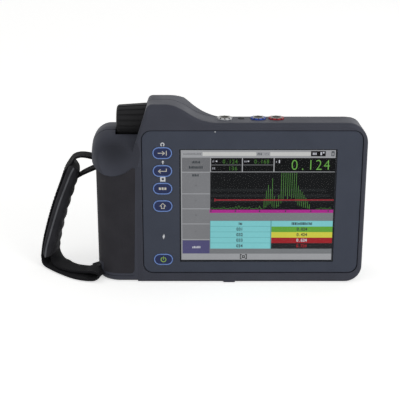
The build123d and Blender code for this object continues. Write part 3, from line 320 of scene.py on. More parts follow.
def pad_printed_ink(name, tone, rough=0.5):
    """Pad-printed ink: an opaque flat coat, with the ground's grain showing faintly through.
    That grain is drawn at 0.4 mm, coarser than it is, so that it shows."""
    made, tree, place = start_material(name)
    cover = add_node(tree, "ShaderNodeTexNoise", inputs={
        "Vector": place, "Scale": per_mm(1.2), "Detail": 2.0})
    colour = add_node(tree, "ShaderNodeValToRGB", inputs={"Fac": cover},
                      stops=shades(tone, 0.05))
    relief = grain(tree, place, 0.4, 0.008)
    return close_material(made, add_node(tree, "ShaderNodeBsdfPrincipled", inputs={
        "Base Color": colour, "Roughness": rough, "IOR": 1.5, "Specular IOR Level": 0.2,
        "Normal": relief}))


def lit_display(name, tone):
    """A field of the lit display: light from behind through a dark filter, a little uneven
    over the field and speckled by the display's dots. The real dot pitch of 0.18 mm is drawn
    at 1.1 mm so that it shows."""
    made, tree, place = start_material(name)
    lamp = add_node(tree, "ShaderNodeTexNoise", inputs={
        "Vector": place, "Scale": per_mm(34.0), "Detail": 1.0})
    dots = add_node(tree, "ShaderNodeTexNoise", inputs={
        "Vector": place, "Scale": per_mm(1.1), "Detail": 0.0})
    both = add_node(tree, "ShaderNodeMath", {"operation": "MULTIPLY_ADD"},
                    {0: dots, 1: 0.5, 2: lamp})
    light = add_node(tree, "ShaderNodeValToRGB", inputs={"Fac": both},
                     stops=shades(tone, 0.045, 0.5, 1.0))
    return close_material(made, add_node(tree, "ShaderNodeBsdfPrincipled", inputs={
        "Base Color": linear("#040405"), "Roughness": 0.4, "Specular IOR Level": 0.1,
        "Emission Color": light, "Emission Strength": 1.0}))


def coated_acrylic(name):
    """Cast acrylic window with a hard anti-glare coat: clear, with a faint soft reflection."""
    made, tree, place = start_material(name)
    coat = add_node(tree, "ShaderNodeTexNoise", inputs={
        "Vector": place, "Scale": per_mm(9.0), "Detail": 3.0})
    haze = add_node(tree, "ShaderNodeValToRGB", inputs={"Fac": coat},
                    stops=gloss_steps(0.2, 0.26))
    clear = add_node(tree, "ShaderNodeBsdfTransparent", inputs={"Color": linear("#F4F6F8")})
    gloss = add_node(tree, "ShaderNodeBsdfGlossy", inputs={"Roughness": haze})
    edge = add_node(tree, "ShaderNodeFresnel", inputs={"IOR": 1.12})
    return close_material(made, add_node(tree, "ShaderNodeMixShader", inputs={
        0: edge, 1: clear, 2: gloss}))


def turned_metal(name, tone, rough, direction="Z"):
    """Metal turned, drawn or rolled: fine parallel tool lines that stretch the highlight. Tool
    marks of about 0.1 mm are drawn at half a millimetre so that they show."""
    made, tree, place = start_material(name)
    lines = add_node(tree, "ShaderNodeTexWave", {"bands_direction": direction}, {
        "Vector": place, "Scale": bands_per_mm(0.5), "Distortion": 1.5, "Detail": 2.0})
    tarnish = add_node(tree, "ShaderNodeTexNoise", inputs={
        "Vector": place, "Scale": per_mm(3.0), "Detail": 3.0})
    colour = add_node(tree, "ShaderNodeValToRGB", inputs={"Fac": tarnish},
                      stops=shades(tone, 0.07))
    gloss = add_node(tree, "ShaderNodeValToRGB", inputs={"Fac": lines.outputs["Fac"]},
                     stops=gloss_steps(rough - 0.06, rough + 0.08, 0.2, 0.8))
    relief = add_node(tree, "ShaderNodeBump", inputs={
        "Height": lines.outputs["Fac"], "Distance": 0.012 * MM})
    return close_material(made, add_node(tree, "ShaderNodeBsdfPrincipled", inputs={
        "Base Color": colour, "Metallic": 1.0, "Roughness": gloss, "Normal": relief}))


def moulded_gloss_plastic(name, tone, rough=0.3):
    """Plastic moulded in a polished tool: a clear strong colour with faint flow clouds in its
    gloss."""
    made, tree, place = start_material(name)
    colour, gloss = clouds(tree, place, 3.0, 2.0, shades(tone, 0.06),
                           gloss_steps(rough + 0.06, rough - 0.04))
    relief = grain(tree, place, 0.8, 0.006)
    return close_material(made, add_node(tree, "ShaderNodeBsdfPrincipled", inputs={
        "Base Color": colour, "Roughness": gloss, "IOR": 1.5, "Specular IOR Level": 0.4,
        "Normal": relief}))


def circuit_board(name):
    """Glass-epoxy board under green solder mask: copper tracks stand up as paler lines."""
    made, tree, place = start_material(name)
    tracks = add_node(tree, "ShaderNodeTexBrick", {"offset": 0.35, "squash": 0.6}, {
        "Vector": place, "Scale": per_mm(8.0), "Color1": grey(0.2), "Color2": grey(0.7),
        "Mortar": grey(1.0), "Mortar Size": 0.04})
    mask = add_node(tree, "ShaderNodeValToRGB", inputs={"Fac": tracks},
                    stops=[(0.2, linear("#0E3A22")), (0.9, linear("#1C6238"))])
    relief = add_node(tree, "ShaderNodeBump", inputs={"Height": tracks, "Distance": 0.03 * MM})
    return close_material(made, add_node(tree, "ShaderNodeBsdfPrincipled", inputs={
        "Base Color": mask, "Roughness": 0.32, "Normal": relief}))


def woven_nylon(name, tone):
    """Nylon webbing, woven and dyed black: cross ribs over lengthwise yarns, with a low sheen
    on their crowns. It follows the strap's own length and width from its map. Ribs stand every
    1.3 mm, and yarns of 0.4 mm are drawn at 0.9 mm so that they show."""
    made, tree, place = start_material(name)
    strap = add_node(tree, "ShaderNodeUVMap", {"uv_map": "strap"})
    parts = add_node(tree, "ShaderNodeSeparateXYZ", inputs={"Vector": strap})
    turns = {}
    for side, pitch in (("Y", 1.3), ("X", 0.9)):
        angle = add_node(tree, "ShaderNodeMath", {"operation": "MULTIPLY"},
                         {0: parts.outputs[side], 1: 2 * math.pi / (pitch * MM)})
        turns[side] = add_node(tree, "ShaderNodeMath", {"operation": "SINE"}, {0: angle})
    fuzz = add_node(tree, "ShaderNodeTexNoise", inputs={
        "Vector": place, "Scale": per_mm(0.35), "Detail": 3.0})
    hairy = add_node(tree, "ShaderNodeMath", {"operation": "MULTIPLY_ADD"},
                     {0: fuzz, 1: 0.3, 2: 0.5})
    yarned = add_node(tree, "ShaderNodeMath", {"operation": "MULTIPLY_ADD"},
                      {0: turns["X"], 1: 0.14, 2: hairy})
    weave = add_node(tree, "ShaderNodeMath", {"operation": "MULTIPLY_ADD"},
                     {0: turns["Y"], 1: 0.32, 2: yarned})
    colour = add_node(tree, "ShaderNodeValToRGB", inputs={"Fac": weave},
                      stops=shades(tone, 0.5, 0.15, 1.0))
    relief = add_node(tree, "ShaderNodeBump", inputs={"Height": weave, "Distance": 0.22 * MM})
    return close_material(made, add_node(tree, "ShaderNodeBsdfPrincipled", inputs={
        "Base Color": colour, "Roughness": 0.78, "Specular IOR Level": 0.1,
        "Sheen Weight": 0.02, "Sheen Roughness": 0.5, "Normal": relief}))


def coated_cordura(name, tone, yarn_mm=0.9, depth_mm=0.14):
    """Plain-woven nylon cloth with a rubbery backing, stretched over foam: a small even weave
    and a soft grey sheen. The real yarn of 0.5 mm is drawn at 0.9 mm so that it shows."""
    made, tree, place = start_material(name)
    strap = add_node(tree, "ShaderNodeUVMap", {"uv_map": "strap"})
    cells = add_node(tree, "ShaderNodeTexChecker", inputs={
        "Vector": strap, "Scale": per_mm(yarn_mm), "Color1": grey(0.35), "Color2": grey(0.65)})
    fuzz = add_node(tree, "ShaderNodeTexNoise", inputs={
        "Vector": place, "Scale": per_mm(0.6), "Detail": 4.0, "Roughness": 0.65})
    cloth = add_node(tree, "ShaderNodeMixRGB", {"blend_type": "OVERLAY"}, {
        "Fac": 0.6, "Color1": cells, "Color2": fuzz.outputs["Color"]})
    colour, gloss = clouds(tree, place, 12.0, 4.0, shades(tone, 0.16),
                           gloss_steps(0.78, 0.66))
    relief = add_node(tree, "ShaderNodeBump", inputs={
        "Height": cloth, "Distance": depth_mm * MM})
    return close_material(made, add_node(tree, "ShaderNodeBsdfPrincipled", inputs={
        "Base Color": colour, "Roughness": gloss, "Specular IOR Level": 0.08,
        "Sheen Weight": 0.03, "Sheen Roughness": 0.45, "Normal": relief}))


def sewing_thread(name, tone):
    """Bonded nylon thread: small twisted strands with a waxy gloss."""
    made, tree, place = start_material(name)
    twist = add_node(tree, "ShaderNodeTexWave", {"bands_direction": "DIAGONAL"}, {
        "Vector": place, "Scale": bands_per_mm(0.5)})
    colour = add_node(tree, "ShaderNodeValToRGB", inputs={"Fac": twist.outputs["Fac"]},
                      stops=shades(tone, 0.3))
    relief = add_node(tree, "ShaderNodeBump", inputs={
        "Height": twist.outputs["Fac"], "Distance": 0.05 * MM})
    return close_material(made, add_node(tree, "ShaderNodeBsdfPrincipled", inputs={
        "Base Color": colour, "Roughness": 0.5, "Specular IOR Level": 0.3, "Normal": relief}))


def paper_sweep(name, tone):
    """Seamless studio paper: even and matt, with the faintest tooth. It shows the camera a
    little light of its own, so that it comes out white and keeps the object's shadow. The
    tooth of about 0.2 mm is drawn at 2 mm so that it shows."""
    made, tree, place = start_material(name)
    tooth = add_node(tree, "ShaderNodeTexNoise", inputs={
        "Vector": place, "Scale": per_mm(2.0), "Detail": 2.0})
    colour = add_node(tree, "ShaderNodeValToRGB", inputs={"Fac": tooth},
                      stops=shades(tone, 0.006))
    paper = add_node(tree, "ShaderNodeBsdfPrincipled", inputs={
        "Base Color": colour, "Roughness": 0.9, "Specular IOR Level": 0.1})
    rays = add_node(tree, "ShaderNodeLightPath")
    shown = add_node(tree, "ShaderNodeMath", {"operation": "MAXIMUM"},
                     {0: rays.outputs["Is Camera Ray"], 1: rays.outputs["Is Glossy Ray"]})
    faint = add_node(tree, "ShaderNodeMath", {"operation": "MULTIPLY"},
                     {0: shown, 1: FLOOR_GLOW})
    glow = add_node(tree, "ShaderNodeEmission", inputs={"Strength": faint})
    return close_material(made, add_node(tree, "ShaderNodeAddShader", inputs={
        0: paper, 1: glow}))


# Finishes that no property of the scene changes: how each is made, its colour, its roughness
# and what else its maker takes
STOCK = {
    "moulded_black_nylon": (moulded_polycarbonate, linear("#1C1C1E"), 0.45),
    "fluted_knob_rubber": (overmoulded_rubber, linear("#232325"), 0.5, 0.7, 0.03),
    "side_door_rubber": (overmoulded_rubber, linear("#2B2B2F"), 0.6),
    "moulded_seal_rubber": (moulded_silicone, linear("#161617"), 0.6),
    "moulded_grey_silicone": (moulded_silicone, linear("#8D9194")),
    "pale_panel_ink": (pad_printed_ink, linear("#E4E6EA")),
    "warm_white_key_ink": (pad_printed_ink, linear("#DDD9CC")),
    "green_key_ink": (pad_printed_ink, linear("#A6CC5E")),
    "anti_glare_acrylic": (coated_acrylic,),
    "black_display_glass": (moulded_gloss_plastic, linear("#0E0F11"), 0.25),
    "moulded_output_ring": (moulded_gloss_plastic, linear("#E6E7EA")),
    "moulded_receive_ring": (moulded_gloss_plastic, linear("#2F55BE")),
    "moulded_transmit_ring": (moulded_gloss_plastic, linear("#B3242C")),
    "turned_black_insulator": (moulded_gloss_plastic, linear("#242426"), 0.5),
    "shrink_film_wrap": (moulded_gloss_plastic, linear("#1D2026"), 0.35),
    "dull_nickel_plate": (turned_metal, linear("#8F8E8A"), 0.3),
    "nickel_plated_brass": (turned_metal, linear("#BDB9AE"), 0.3),
    "turned_stainless": (turned_metal, linear("#B5B4B0"), 0.28, "X"),
    "passivated_screw_steel": (turned_metal, linear("#9C9B97"), 0.34),
    "drawn_stand_steel": (turned_metal, linear("#A9A8A4"), 0.3),
    "cast_aluminium_frame": (turned_metal, linear("#A6A7A8"), 0.45),
    "drawn_tinplate": (turned_metal, linear("#B4B3AD"), 0.3),
    "green_circuit_board": (circuit_board,),
    "black_bonded_thread": (sewing_thread, linear("#2A2A2C")),
}
cabinet = {}


def material(name, maker=None, *values, **settings):
    """The named material, made the first time that it is asked for. One from the stock needs
    no more than its name."""
    if name not in cabinet:
        if maker is None:
            maker, *values = STOCK[name]
        cabinet[name] = maker(name, *values, **settings)
    return cabinet[name]


def dress(finish, *nodes):
    """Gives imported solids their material."""
    for node in nodes:
        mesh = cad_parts[node].data
        mesh.materials.clear()
        mesh.materials.append(finish)


def new_piece(name, shape, finishes, body, smooth=True):
    """Turns a built shape into a piece of the object that rides on a body."""
    mesh = bpy.data.meshes.new(name)
    bmesh.ops.recalc_face_normals(shape, faces=shape.faces)
    shape.to_mesh(mesh)
    shape.free()
    for face in mesh.polygons:
        face.use_smooth = smooth
    for finish in finishes:
        mesh.materials.append(finish)
    made = bpy.data.objects.new(name, mesh)
    bpy.context.scene.collection.objects.link(made)
    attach(made, body)
    return made


def bridge(shape, first, second, index=0):
    """Faces that join two rings with the same number of points."""
    faces = []
    for at in range(len(first)):
        after = (at + 1) % len(first)
        face = shape.faces.new((first[at], first[after], second[after], second[at]))
        face.material_index = index
        faces.append(face)
    return faces


def close_tube(shape, rings):
    """Walls between all rings in turn, and a cap on the first and the last."""
    for first, second in zip(rings, rings[1:]):
        bridge(shape, first, second)
    for ring in (rings[0], rings[-1]):
        shape.faces.new(ring)


def add_prism(shape, outline, front, back, index=0, hole=None):
    """An upright prism: an outline of (x, z) points in mm between two depths, with a hole."""
    def ring(points, depth):
        return [shape.verts.new((x * MM, depth * MM, z * MM)) for x, z in points]

    near, far = ring(outline, front), ring(outline, back)
    bridge(shape, near, far, index)
    if hole is None:
        for rim in (near, far):
            shape.faces.new(rim).material_index = index
        return
    near_hole, far_hole = ring(hole, front), ring(hole, back)
    for first, second in ((near_hole, far_hole), (near, near_hole), (far, far_hole)):
        bridge(shape, first, second, index)


def box_outline(left, right, low, high):
    """The four corners of an upright rectangle."""
    return [(left, low), (right, low), (right, high), (left, high)]


def pill_outline(centre, length, height):
    """A pill: two half rounds joined by straight sides."""
    radius = height / 2
    reach = length / 2 - radius
    points = []
    for side, first in ((1, -90), (-1, 90)):
        for step in range(PILL_STEPS + 1):
            angle = math.radians(first + 180 * step / PILL_STEPS)
            points.append((centre[0] + side * reach + radius * math.cos(angle),
                           centre[1] + radius * math.sin(angle)))
    return points


def stroke(shape, points, width, front, back, index=0, closed=False):
    """A printed line through (x, z) points, as one outline with mitred corners."""
    spots = [Vector(point) for point in points]
    count = len(spots)
    edges = {1: [], -1: []}
    for at, spot in enumerate(spots):
        ways = []
        if closed or at:
            ways.append((spot - spots[at - 1]).normalized())
        if closed or at < count - 1:
            ways.append((spots[(at + 1) % count] - spot).normalized())
        sides = [Vector((-way.y, way.x)) for way in ways]
        middle = (sides[0] + sides[-1]).normalized()
        reach = width / 2 / max(0.4, middle.dot(sides[0]))
        end = Vector((0.0, 0.0))
        if len(ways) == 1:
            end = ways[0] * (width / 2 if at else -width / 2)
        for edge in edges:
            edges[edge].append(tuple(spot + end + middle * reach * edge))
    if closed:
        add_prism(shape, edges[1], front, back, index, hole=edges[-1])
    else:
        add_prism(shape, edges[1] + edges[-1][::-1], front, back, index)


def arc_points(centre, radius, first, last):
    """Points of an arc between two angles in degrees."""
    angles = [math.radians(first + (last - first) * step / ARC_STEPS)
              for step in range(ARC_STEPS + 1)]
    return [(centre[0] + radius * math.cos(angle), centre[1] + radius * math.sin(angle))
            for angle in angles]


class DETECTOR_OT_housing(bpy.types.Operator):
    """Finish the two shells, the grip pads and the gasket"""

    bl_idname = "detector.housing"
    bl_label = "Housing and Grip"

    def execute(self, context):
        colours = context.scene.detector_colours
        # The shells' colour carries painted shade round the thumb rest's dish
        shell = material("spark_grained_polycarbonate", moulded_polycarbonate, colours.housing,
                         rough=0.5, rubbed_at=THUMB_DISH_SHADE_CENTRE)
        dress(shell, "front_housing", "rear_housing", "battery_door")
        dress(material("stippled_grip_rubber", overmoulded_rubber, colours.grip),
              "front_grip_pad", "rear_grip_pad")
        dress(material("moulded_seal_rubber"), "housing_gasket")
        return {"FINISHED"}


class DETECTOR_OT_panel(bpy.types.Operator):
    """Finish the front panel and print the small marks above the keys"""

    bl_idname = "detector.panel"
    bl_label = "Front Panel"

    def execute(self, context):
        sizes = context.scene.detector_sizes
        colours = context.scene.detector_colours
        dress(material("hard_coated_panel", moulded_polycarbonate, colours.panel, rough=0.42,
                       grain_mm=0.4, depth_mm=0.018), "front_panel")
        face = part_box("front_panel")[0].y / MM
        front = face - sizes.print_height / MM
        shape = bmesh.new()
        middle = KEY_COLUMN
        # Round dial with a gap, above the first key
        stroke(shape, arc_points((middle + 0.2, 111.6), 1.2, -50, 230), 0.75, front, face)
        # Upright arrow above the second key
        add_prism(shape, [(middle + 0.05, 96.2), (middle + 0.75, 96.2), (middle + 0.75, 97.8),
                          (middle + 1.5, 97.8), (middle + 0.4, 99.2), (middle - 0.7, 97.8),
                          (middle + 0.05, 97.8)], front, face)
        # Framed square above the third key
        add_prism(shape, box_outline(middle - 1.8, middle + 2.2, 82.6, 86.4), front, face,
                  hole=box_outline(middle - 0.7, middle + 1.1, 83.7, 85.3))
        # Supply mark above the power key
        add_prism(shape, [(middle + 0.4, 35.7), (middle + 1.3, 38.4), (middle + 0.6, 40.2),
                          (middle - 0.6, 38.0)], front, face)
        # Light pipe's end at the top seam
        add_prism(shape, box_outline(-12.0, -11.2, 121.0, 121.7), front, face)
        new_piece("panel_marks", shape, [material("pale_panel_ink")], HOUSING_BODY,
                  smooth=False)
        return {"FINISHED"}


class DETECTOR_OT_keys(bpy.types.Operator):
    """Give each key its dark face, its pale rim and its printed sign"""

    bl_idname = "detector.keys"
    bl_label = "Keys"

    def sign(self, shape, name, x, z, front, back):
        """The strokes of one key's sign round the key's centre."""
        if name == "key_tab":
            stroke(shape, [(x - 3.1, z), (x + 0.9, z)], 0.55, front, back)
            stroke(shape, [(x + 0.1, z - 1.35), (x + 1.8, z), (x + 0.1, z + 1.35)], 0.5,
                   front, back)
            stroke(shape, [(x + 3.1, z - 1.6), (x + 3.1, z + 1.6)], 0.55, front, back)
        elif name == "key_enter":
            stroke(shape, [(x - 2.0, z - 0.2), (x + 3.0, z - 0.2), (x + 3.0, z + 1.6)], 0.55,
                   front, back)
            stroke(shape, [(x - 1.5, z + 1.1), (x - 3.0, z - 0.2), (x - 1.5, z - 1.5)], 0.5,
                   front, back)
        elif name == "key_escape":
            for side in (-2.1, 0, 2.1):
                add_prism(shape, box_outline(x + side - 0.75, x + side + 0.75, z - 0.95, z + 0.95),
                          front, back)
        elif name == "key_home":
            arrow = [(x - 1.1, z - 1.9), (x + 1.1, z - 1.9), (x + 1.1, z + 0.1),
                     (x + 2.1, z + 0.1), (x, z + 2.2), (x - 2.1, z + 0.1), (x - 1.1, z + 0.1)]
            stroke(shape, arrow, 0.5, front, back, closed=True)
        else:
            stroke(shape, arc_points((x, z - 0.1), 1.9, 125, 415), 0.6, front, back)
            stroke(shape, [(x, z), (x, z + 2.2)], 0.55, front, back)

    def execute(self, context):
        sizes = context.scene.detector_sizes
        colours = context.scene.detector_colours
        face_finish = material("moulded_blue_silicone", moulded_silicone, colours.key_face)
        rim_finish = material("pale_blue_key_ink", pad_printed_ink, colours.key_rim, rough=0.35)
        rim = sizes.key_rim_width / MM
        for name in KEY_BODIES:
            dress(face_finish, name)
            low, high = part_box(name)
            front = low.y / MM
            x = (low.x + high.x) / 2 / MM
            z = (low.z + high.z) / 2 / MM
            length = (high.x - low.x) / MM - RIM_INSET
            height = (high.z - low.z) / MM - RIM_INSET
            shape = bmesh.new()
            add_prism(shape, pill_outline((x, z), length, height), front - RIM_OUT,
                      front + RIM_IN,
                      hole=pill_outline((x, z), length - 2 * rim, height - 2 * rim))
            made = new_piece(f"{name}_rim", shape, [rim_finish], name)
            soften = made.modifiers.new("soft edge", "BEVEL")
            soften.width = RIM_ROUND * MM
            soften.segments = 2
            shape = bmesh.new()
            self.sign(shape, name, x, z, front - sizes.print_height / MM, front)
            ink = material("green_key_ink" if name == "key_power" else "warm_white_key_ink")
            new_piece(f"{name}_sign", shape, [ink], name, smooth=False)
        dress(material("moulded_grey_silicone"), "keypad_mat")
        return {"FINISHED"}


# Colours of the lit fields on the display
FIELD_COLOURS = {
    "edge": "#202226", "black": "#060707", "head_grey": "#9C9C9E", "head_white": "#C6C5C2",
    "menu_grey": "#7B7B7D", "menu_head": "#6F6F71", "rule": "#A7A7A9", "violet": "#514E74",
    "foot": "#9D9D9F", "foot_band": "#77797B", "band": "#7A7D7F", "digit_green": "#6FAE4C",
    "dim_green": "#3F6A2C", "plot": "#0D0E0F", "plot_haze": "#1D1F20", "trace": "#568F41",
    "gate_red": "#8E2A32", "magenta": "#A82A88", "cyan": "#7FC8CA", "cyan_rule": "#5E9FA2",
    "row_green": "#63A239", "row_yellow": "#CFCB47", "row_red": "#9C2329",
    "row_black": "#232224", "print_dark": "#33383C", "print_mid": "#8A8A90",
    "print_pale": "#C4C4CA",
}
# The table's rows from the top: colour of the right-hand row, colour of its number and number
TABLE_ROWS = (
    ("cyan", "print_dark", ""), ("row_green", "print_dark", "0.024"),
    ("row_yellow", "print_dark", "0.424"), ("row_red", "print_pale", "0.624"),
    ("row_black", "row_red", "0.724"),
)
# The echo trace, in mm on the picture: its floor and top, stretches of stronger noise (start,
# end, least rise and spread), and the burst's start, end and strokes (place, foot and top)
TRACE_FLOOR = 41.6
TRACE_TOP = 70.9
NOISE_STRETCHES = ((44, 50, 1.5, 4.6), (50, 63, 0.8, 3.0), (103, 120, 0.3, 1.5))
BURST_START = 63
BURST_END = 101
BURST = (
    (63.8, 42.4, 50.0), (65.4, 43.4, 56.5), (66.9, 45.0, 61.0), (68.5, 46.0, 58.0),
    (70.0, 44.0, 66.4), (71.6, 43.0, 52.0), (73.4, 43.0, 48.6), (75.0, 44.0, 53.0),
    (76.8, 46.5, TRACE_TOP), (78.4, 49.0, TRACE_TOP), (80.1, 52.6, TRACE_TOP),
    (81.7, 50.0, TRACE_TOP), (83.3, 52.4, TRACE_TOP), (84.9, 50.6, TRACE_TOP),
    (86.6, 51.0, TRACE_TOP), (88.2, 48.0, TRACE_TOP), (89.8, 45.0, 60.5), (91.3, 44.4, 57.0),
    (92.8, 44.0, 55.4), (94.3, 43.2, 53.0), (95.8, 42.8, 51.0), (97.3, 42.4, 48.0),
    (98.8, 42.0, 45.6),
)


class DETECTOR_OT_screen(bpy.types.Operator):
    """Light the display with its picture of fields, readouts and a trace"""

    bl_idname = "detector.screen"
    bl_label = "Screen"

    def field(self, left, right, low, high, colour, level=1):
        """One flat field of the picture, in mm from the picture's lower left corner."""
        front = self.face - LAYER_STEP * level
        outline = box_outline(SCREEN_LEFT + left, SCREEN_LEFT + right,
                              SCREEN_BOTTOM + low, SCREEN_BOTTOM + high)
        add_prism(self.shape, outline, front, front + LAYER_THICKNESS, self.ink[colour])

    def digits(self, text, left, low, height, pitch, colour, weight=0.012):
        """Digits of the built-in face, at an even pitch, laid on the picture."""
        front = (self.face - DIGIT_LIFT) * MM
        for at, sign in enumerate(text):
            line = bpy.data.curves.new("digit", "FONT")
            line.body = sign
            line.align_x = "CENTER"
            line.offset = weight
            holder = bpy.data.objects.new("digit", line)
            flat = bpy.data.meshes.new_from_object(holder)
            before = len(self.shape.verts)
            faces_before = len(self.shape.faces)
            self.shape.from_mesh(flat)
            self.shape.verts.ensure_lookup_table()
            self.shape.faces.ensure_lookup_table()
            scale = height / DIGIT_HEIGHT
            middle = SCREEN_LEFT + left + pitch * (at + 0.5)
            for vert in self.shape.verts[before:]:
                vert.co = ((middle + vert.co.x * scale * DIGIT_WIDTH) * MM, front,
                           (SCREEN_BOTTOM + low + vert.co.y * scale) * MM)
            for face in self.shape.faces[faces_before:]:
                face.material_index = self.ink[colour]
            bpy.data.objects.remove(holder)
            bpy.data.curves.remove(line)
            bpy.data.meshes.remove(flat)

    def small_print(self, left, right, low, high, colour):
        """A line of small print as short bars, too fine to read."""
        x = left
        while x < right - 0.4:
            wide = min(self.random.uniform(0.5, 1.0), right - x)
            top = high - self.random.choice((0.0, 0.0, 0.35))
            self.field(x, x + wide, low, top, colour, 3)
            x += wide + self.random.uniform(0.28, 0.42)

    def plot_line(self, points, width=0.21):
        """A thin line of the echo trace through points in mm."""
        front = self.face - TRACE_LIFT
        line = [(SCREEN_LEFT + x, SCREEN_BOTTOM + z) for x, z in points]
        for pair in zip(line, line[1:]):
            stroke(self.shape, pair, width, front, front + LAYER_THICKNESS, self.ink["trace"])

    def trace(self):
        """The echo trace: low noise, two early peaks, then a burst that runs off the top."""
        draw = self.random
        points = []
        x = 23.0
        while x < 116.8:
            rise = 0.4 + draw.random() ** 2 * 2.0
            for start, end, least, spread in NOISE_STRETCHES:
                if start < x < end:
                    rise = least + spread * draw.random()
            points.append((x, TRACE_FLOOR + (rise if len(points) % 2 else 0.2)))
            x += 4.0 if BURST_START < x < BURST_END else draw.uniform(0.8, 1.5)
        self.plot_line([point for point in points if point[0] < BURST_START])
        self.plot_line([point for point in points if point[0] > BURST_END - 1])
        for (x, low, high), after in zip(BURST, BURST[1:] + BURST[-1:]):
            self.plot_line([(x, low), (x + 0.1, high)], 0.3)
            if high < 50.5:
                self.plot_line([(x + 0.1, low + 2.0), after[:2]], 0.16)

    def head_bar(self):
        """The head bar with its entry field, the dark status boxes and a battery sign."""
        field, small = self.field, self.small_print
        field(0, PICTURE_WIDTH, HEAD_FOOT, PICTURE_HEIGHT, "head_grey")
        field(16.5, 98.6, 84.2, 87.2, "head_white", 2)
        field(57.2, 67.8, 84.2, 87.2, "head_grey", 3)
        small(2.0, 15.6, 85.0, 86.4, "menu_grey")
        small(58.2, 62.0, 84.8, 86.6, "print_dark")
        small(63.6, 67.2, 84.9, 86.8, "print_dark")
        field(98.6, 109.8, 83.9, 88.0, "black", 2)
        small(100.0, 103.4, 85.0, 86.8, "print_pale")
        field(105.8, 107.0, 84.8, 87.2, "print_pale", 3)
        field(107.6, 108.8, 86.2, 87.4, "print_pale", 3)
        field(114.2, 116.4, 84.0, 87.8, "print_dark", 2)
        field(114.8, 115.8, 84.5, 86.8, "head_grey", 3)

    def menu_column(self):
        """The menu column: its head, five boxes with rules between them, and the violet box."""
        field, small = self.field, self.small_print
        field(0, MENU_EDGE, 0, HEAD_FOOT, "menu_grey")
        field(0.9, 22.0, 71.8, 82.5, "menu_head", 2)
        for edge in (71.4, 54.1, 42.0, 29.7, 16.9):
            field(0.6, 22.2, edge - 0.25, edge + 0.25, "rule", 2)
        small(8.4, 14.6, 78.3, 80.2, "print_dark")
        small(6.2, 16.8, 74.2, 76.2, "print_dark")
        small(8.6, 14.0, 68.0, 69.8, "print_dark")
        for at, middle in enumerate((60.8, 48.6, 36.8, 23.6)):
            field(10.6, 12.4 - 0.4 * (at % 2), middle - 0.5, middle + 0.6, "menu_head", 2)
        field(0.9, 22.0, 5.0, 16.1, "violet", 2)
        small(8.6, 15.4, 9.6, 11.4, "print_pale")
        field(0, 0.8, 0, HEAD_FOOT, "foot", 4)

    def readouts(self):
        """Three readout boxes, the first two with two rows."""
        field, small = self.field, self.small_print
        field(MENU_EDGE, PICTURE_WIDTH, 71.2, HEAD_FOOT, "rule")
        for left, right in ((22.9, 46.4), (47.1, 70.5), (71.2, PICTURE_WIDTH)):
            field(left, right, 71.8, 82.6, "black", 2)
        for left in (22.9, 47.1):
            field(left, left + 23.4, 76.9, 77.3, "menu_grey", 3)
            small(left + 1.0, left + 3.0, 79.2, 80.8, "print_mid")
            field(left + 3.6, left + 4.8, 79.5, 80.5, "print_pale", 3)
        small(72.2, 73.6, 78.8, 80.2, "print_mid")
        field(74.4, 75.3, 78.6, 81.0, "print_pale", 3)
        small(23.9, 26.2, 73.6, 75.2, "print_mid")
        self.digits("0.124", 31.6, 78.3, 3.0, 2.35, "dim_green")
        self.digits("136", 36.0, 72.9, 3.0, 2.35, "dim_green")
        self.digits("0.168", 55.6, 78.3, 3.0, 2.35, "dim_green")
        self.digits("0.124", 83.4, 73.2, 8.0, 6.15, "digit_green", -0.014)

    def plot(self):
        """The plot with its haze, its trace and gate line, and the depth bar below it."""
        field = self.field
        field(MENU_EDGE, PICTURE_WIDTH, 41.0, 71.4, "plot", 2)
        for step in range(6):
            field(MENU_EDGE, PICTURE_WIDTH - 1.2 * step, 45.0 + 2.2 * step, 47.2 + 2.2 * step,
                  "plot_haze" if step % 2 else "plot", 2.4)
        self.trace()
        field(25.6, PICTURE_WIDTH, 48.6, 49.7, "gate_red", 4)
        field(25.6, 26.3, 47.8, 50.4, "gate_red", 4)
        field(21.9, PICTURE_WIDTH, 38.7, 41.3, "magenta", 4)
        for tick in (22.6, 41.4, 60.0, 80.2, 99.6, 113.0):
            field(tick, tick + 0.9, 39.4, 40.8, "print_dark", 4.4)
        field(MENU_EDGE, PICTURE_WIDTH, 32.2, 38.7, "band")

    def table(self):
        """The table: pale rows on the left, rows in rising alarm colours on the right."""
        field, small = self.field, self.small_print
        field(MENU_EDGE, PICTURE_WIDTH, 9.1, 32.3, "cyan_rule")
        top = 32.1
        row = (top - 9.3) / len(TABLE_ROWS)
        for step, (alarm, tone, number) in enumerate(TABLE_ROWS):
            high = top - step * row
            rule = 0.0 if step == len(TABLE_ROWS) - 1 else 0.3
            low = high - row + rule
            field(22.7, 69.2, low, high, "cyan", 2)
            field(70.0, PICTURE_WIDTH, low - 0.3, high, alarm, 2)
            foot = (low + high) / 2 - 1.15
            if number:
                self.digits(f"{30 + step:03d}", 42.8, foot, 2.4, 1.7, "print_dark", 0.03)
                self.digits(number, 89.6, foot, 2.4, 1.65, tone, 0.03)
            else:
                small(44.6, 47.4, foot, foot + 2.2, tone)
                small(85.6, 101.4, foot, foot + 2.2, tone)

    def foot(self):
        """The foot band, and the foot strip with a small bracketed sign."""
        self.field(MENU_EDGE, PICTURE_WIDTH, 5.3, 9.3, "foot_band", 2)
        self.field(0, PICTURE_WIDTH, 0, 5.2, "foot", 3)
        front = self.face - DIGIT_LIFT
        for line in ([(46.9, 4.4), (46.1, 4.4), (46.1, 0.9), (46.9, 0.9)],
                     [(50.1, 4.4), (50.9, 4.4), (50.9, 0.9), (50.1, 0.9)],
                     [(47.7, 3.4), (49.3, 3.4), (49.3, 1.8), (47.7, 1.8), (47.7, 3.4)]):
            stroke(self.shape, [(SCREEN_LEFT + x, SCREEN_BOTTOM + z) for x, z in line], 0.6,
                   front, front + LAYER_THICKNESS, self.ink["black"])

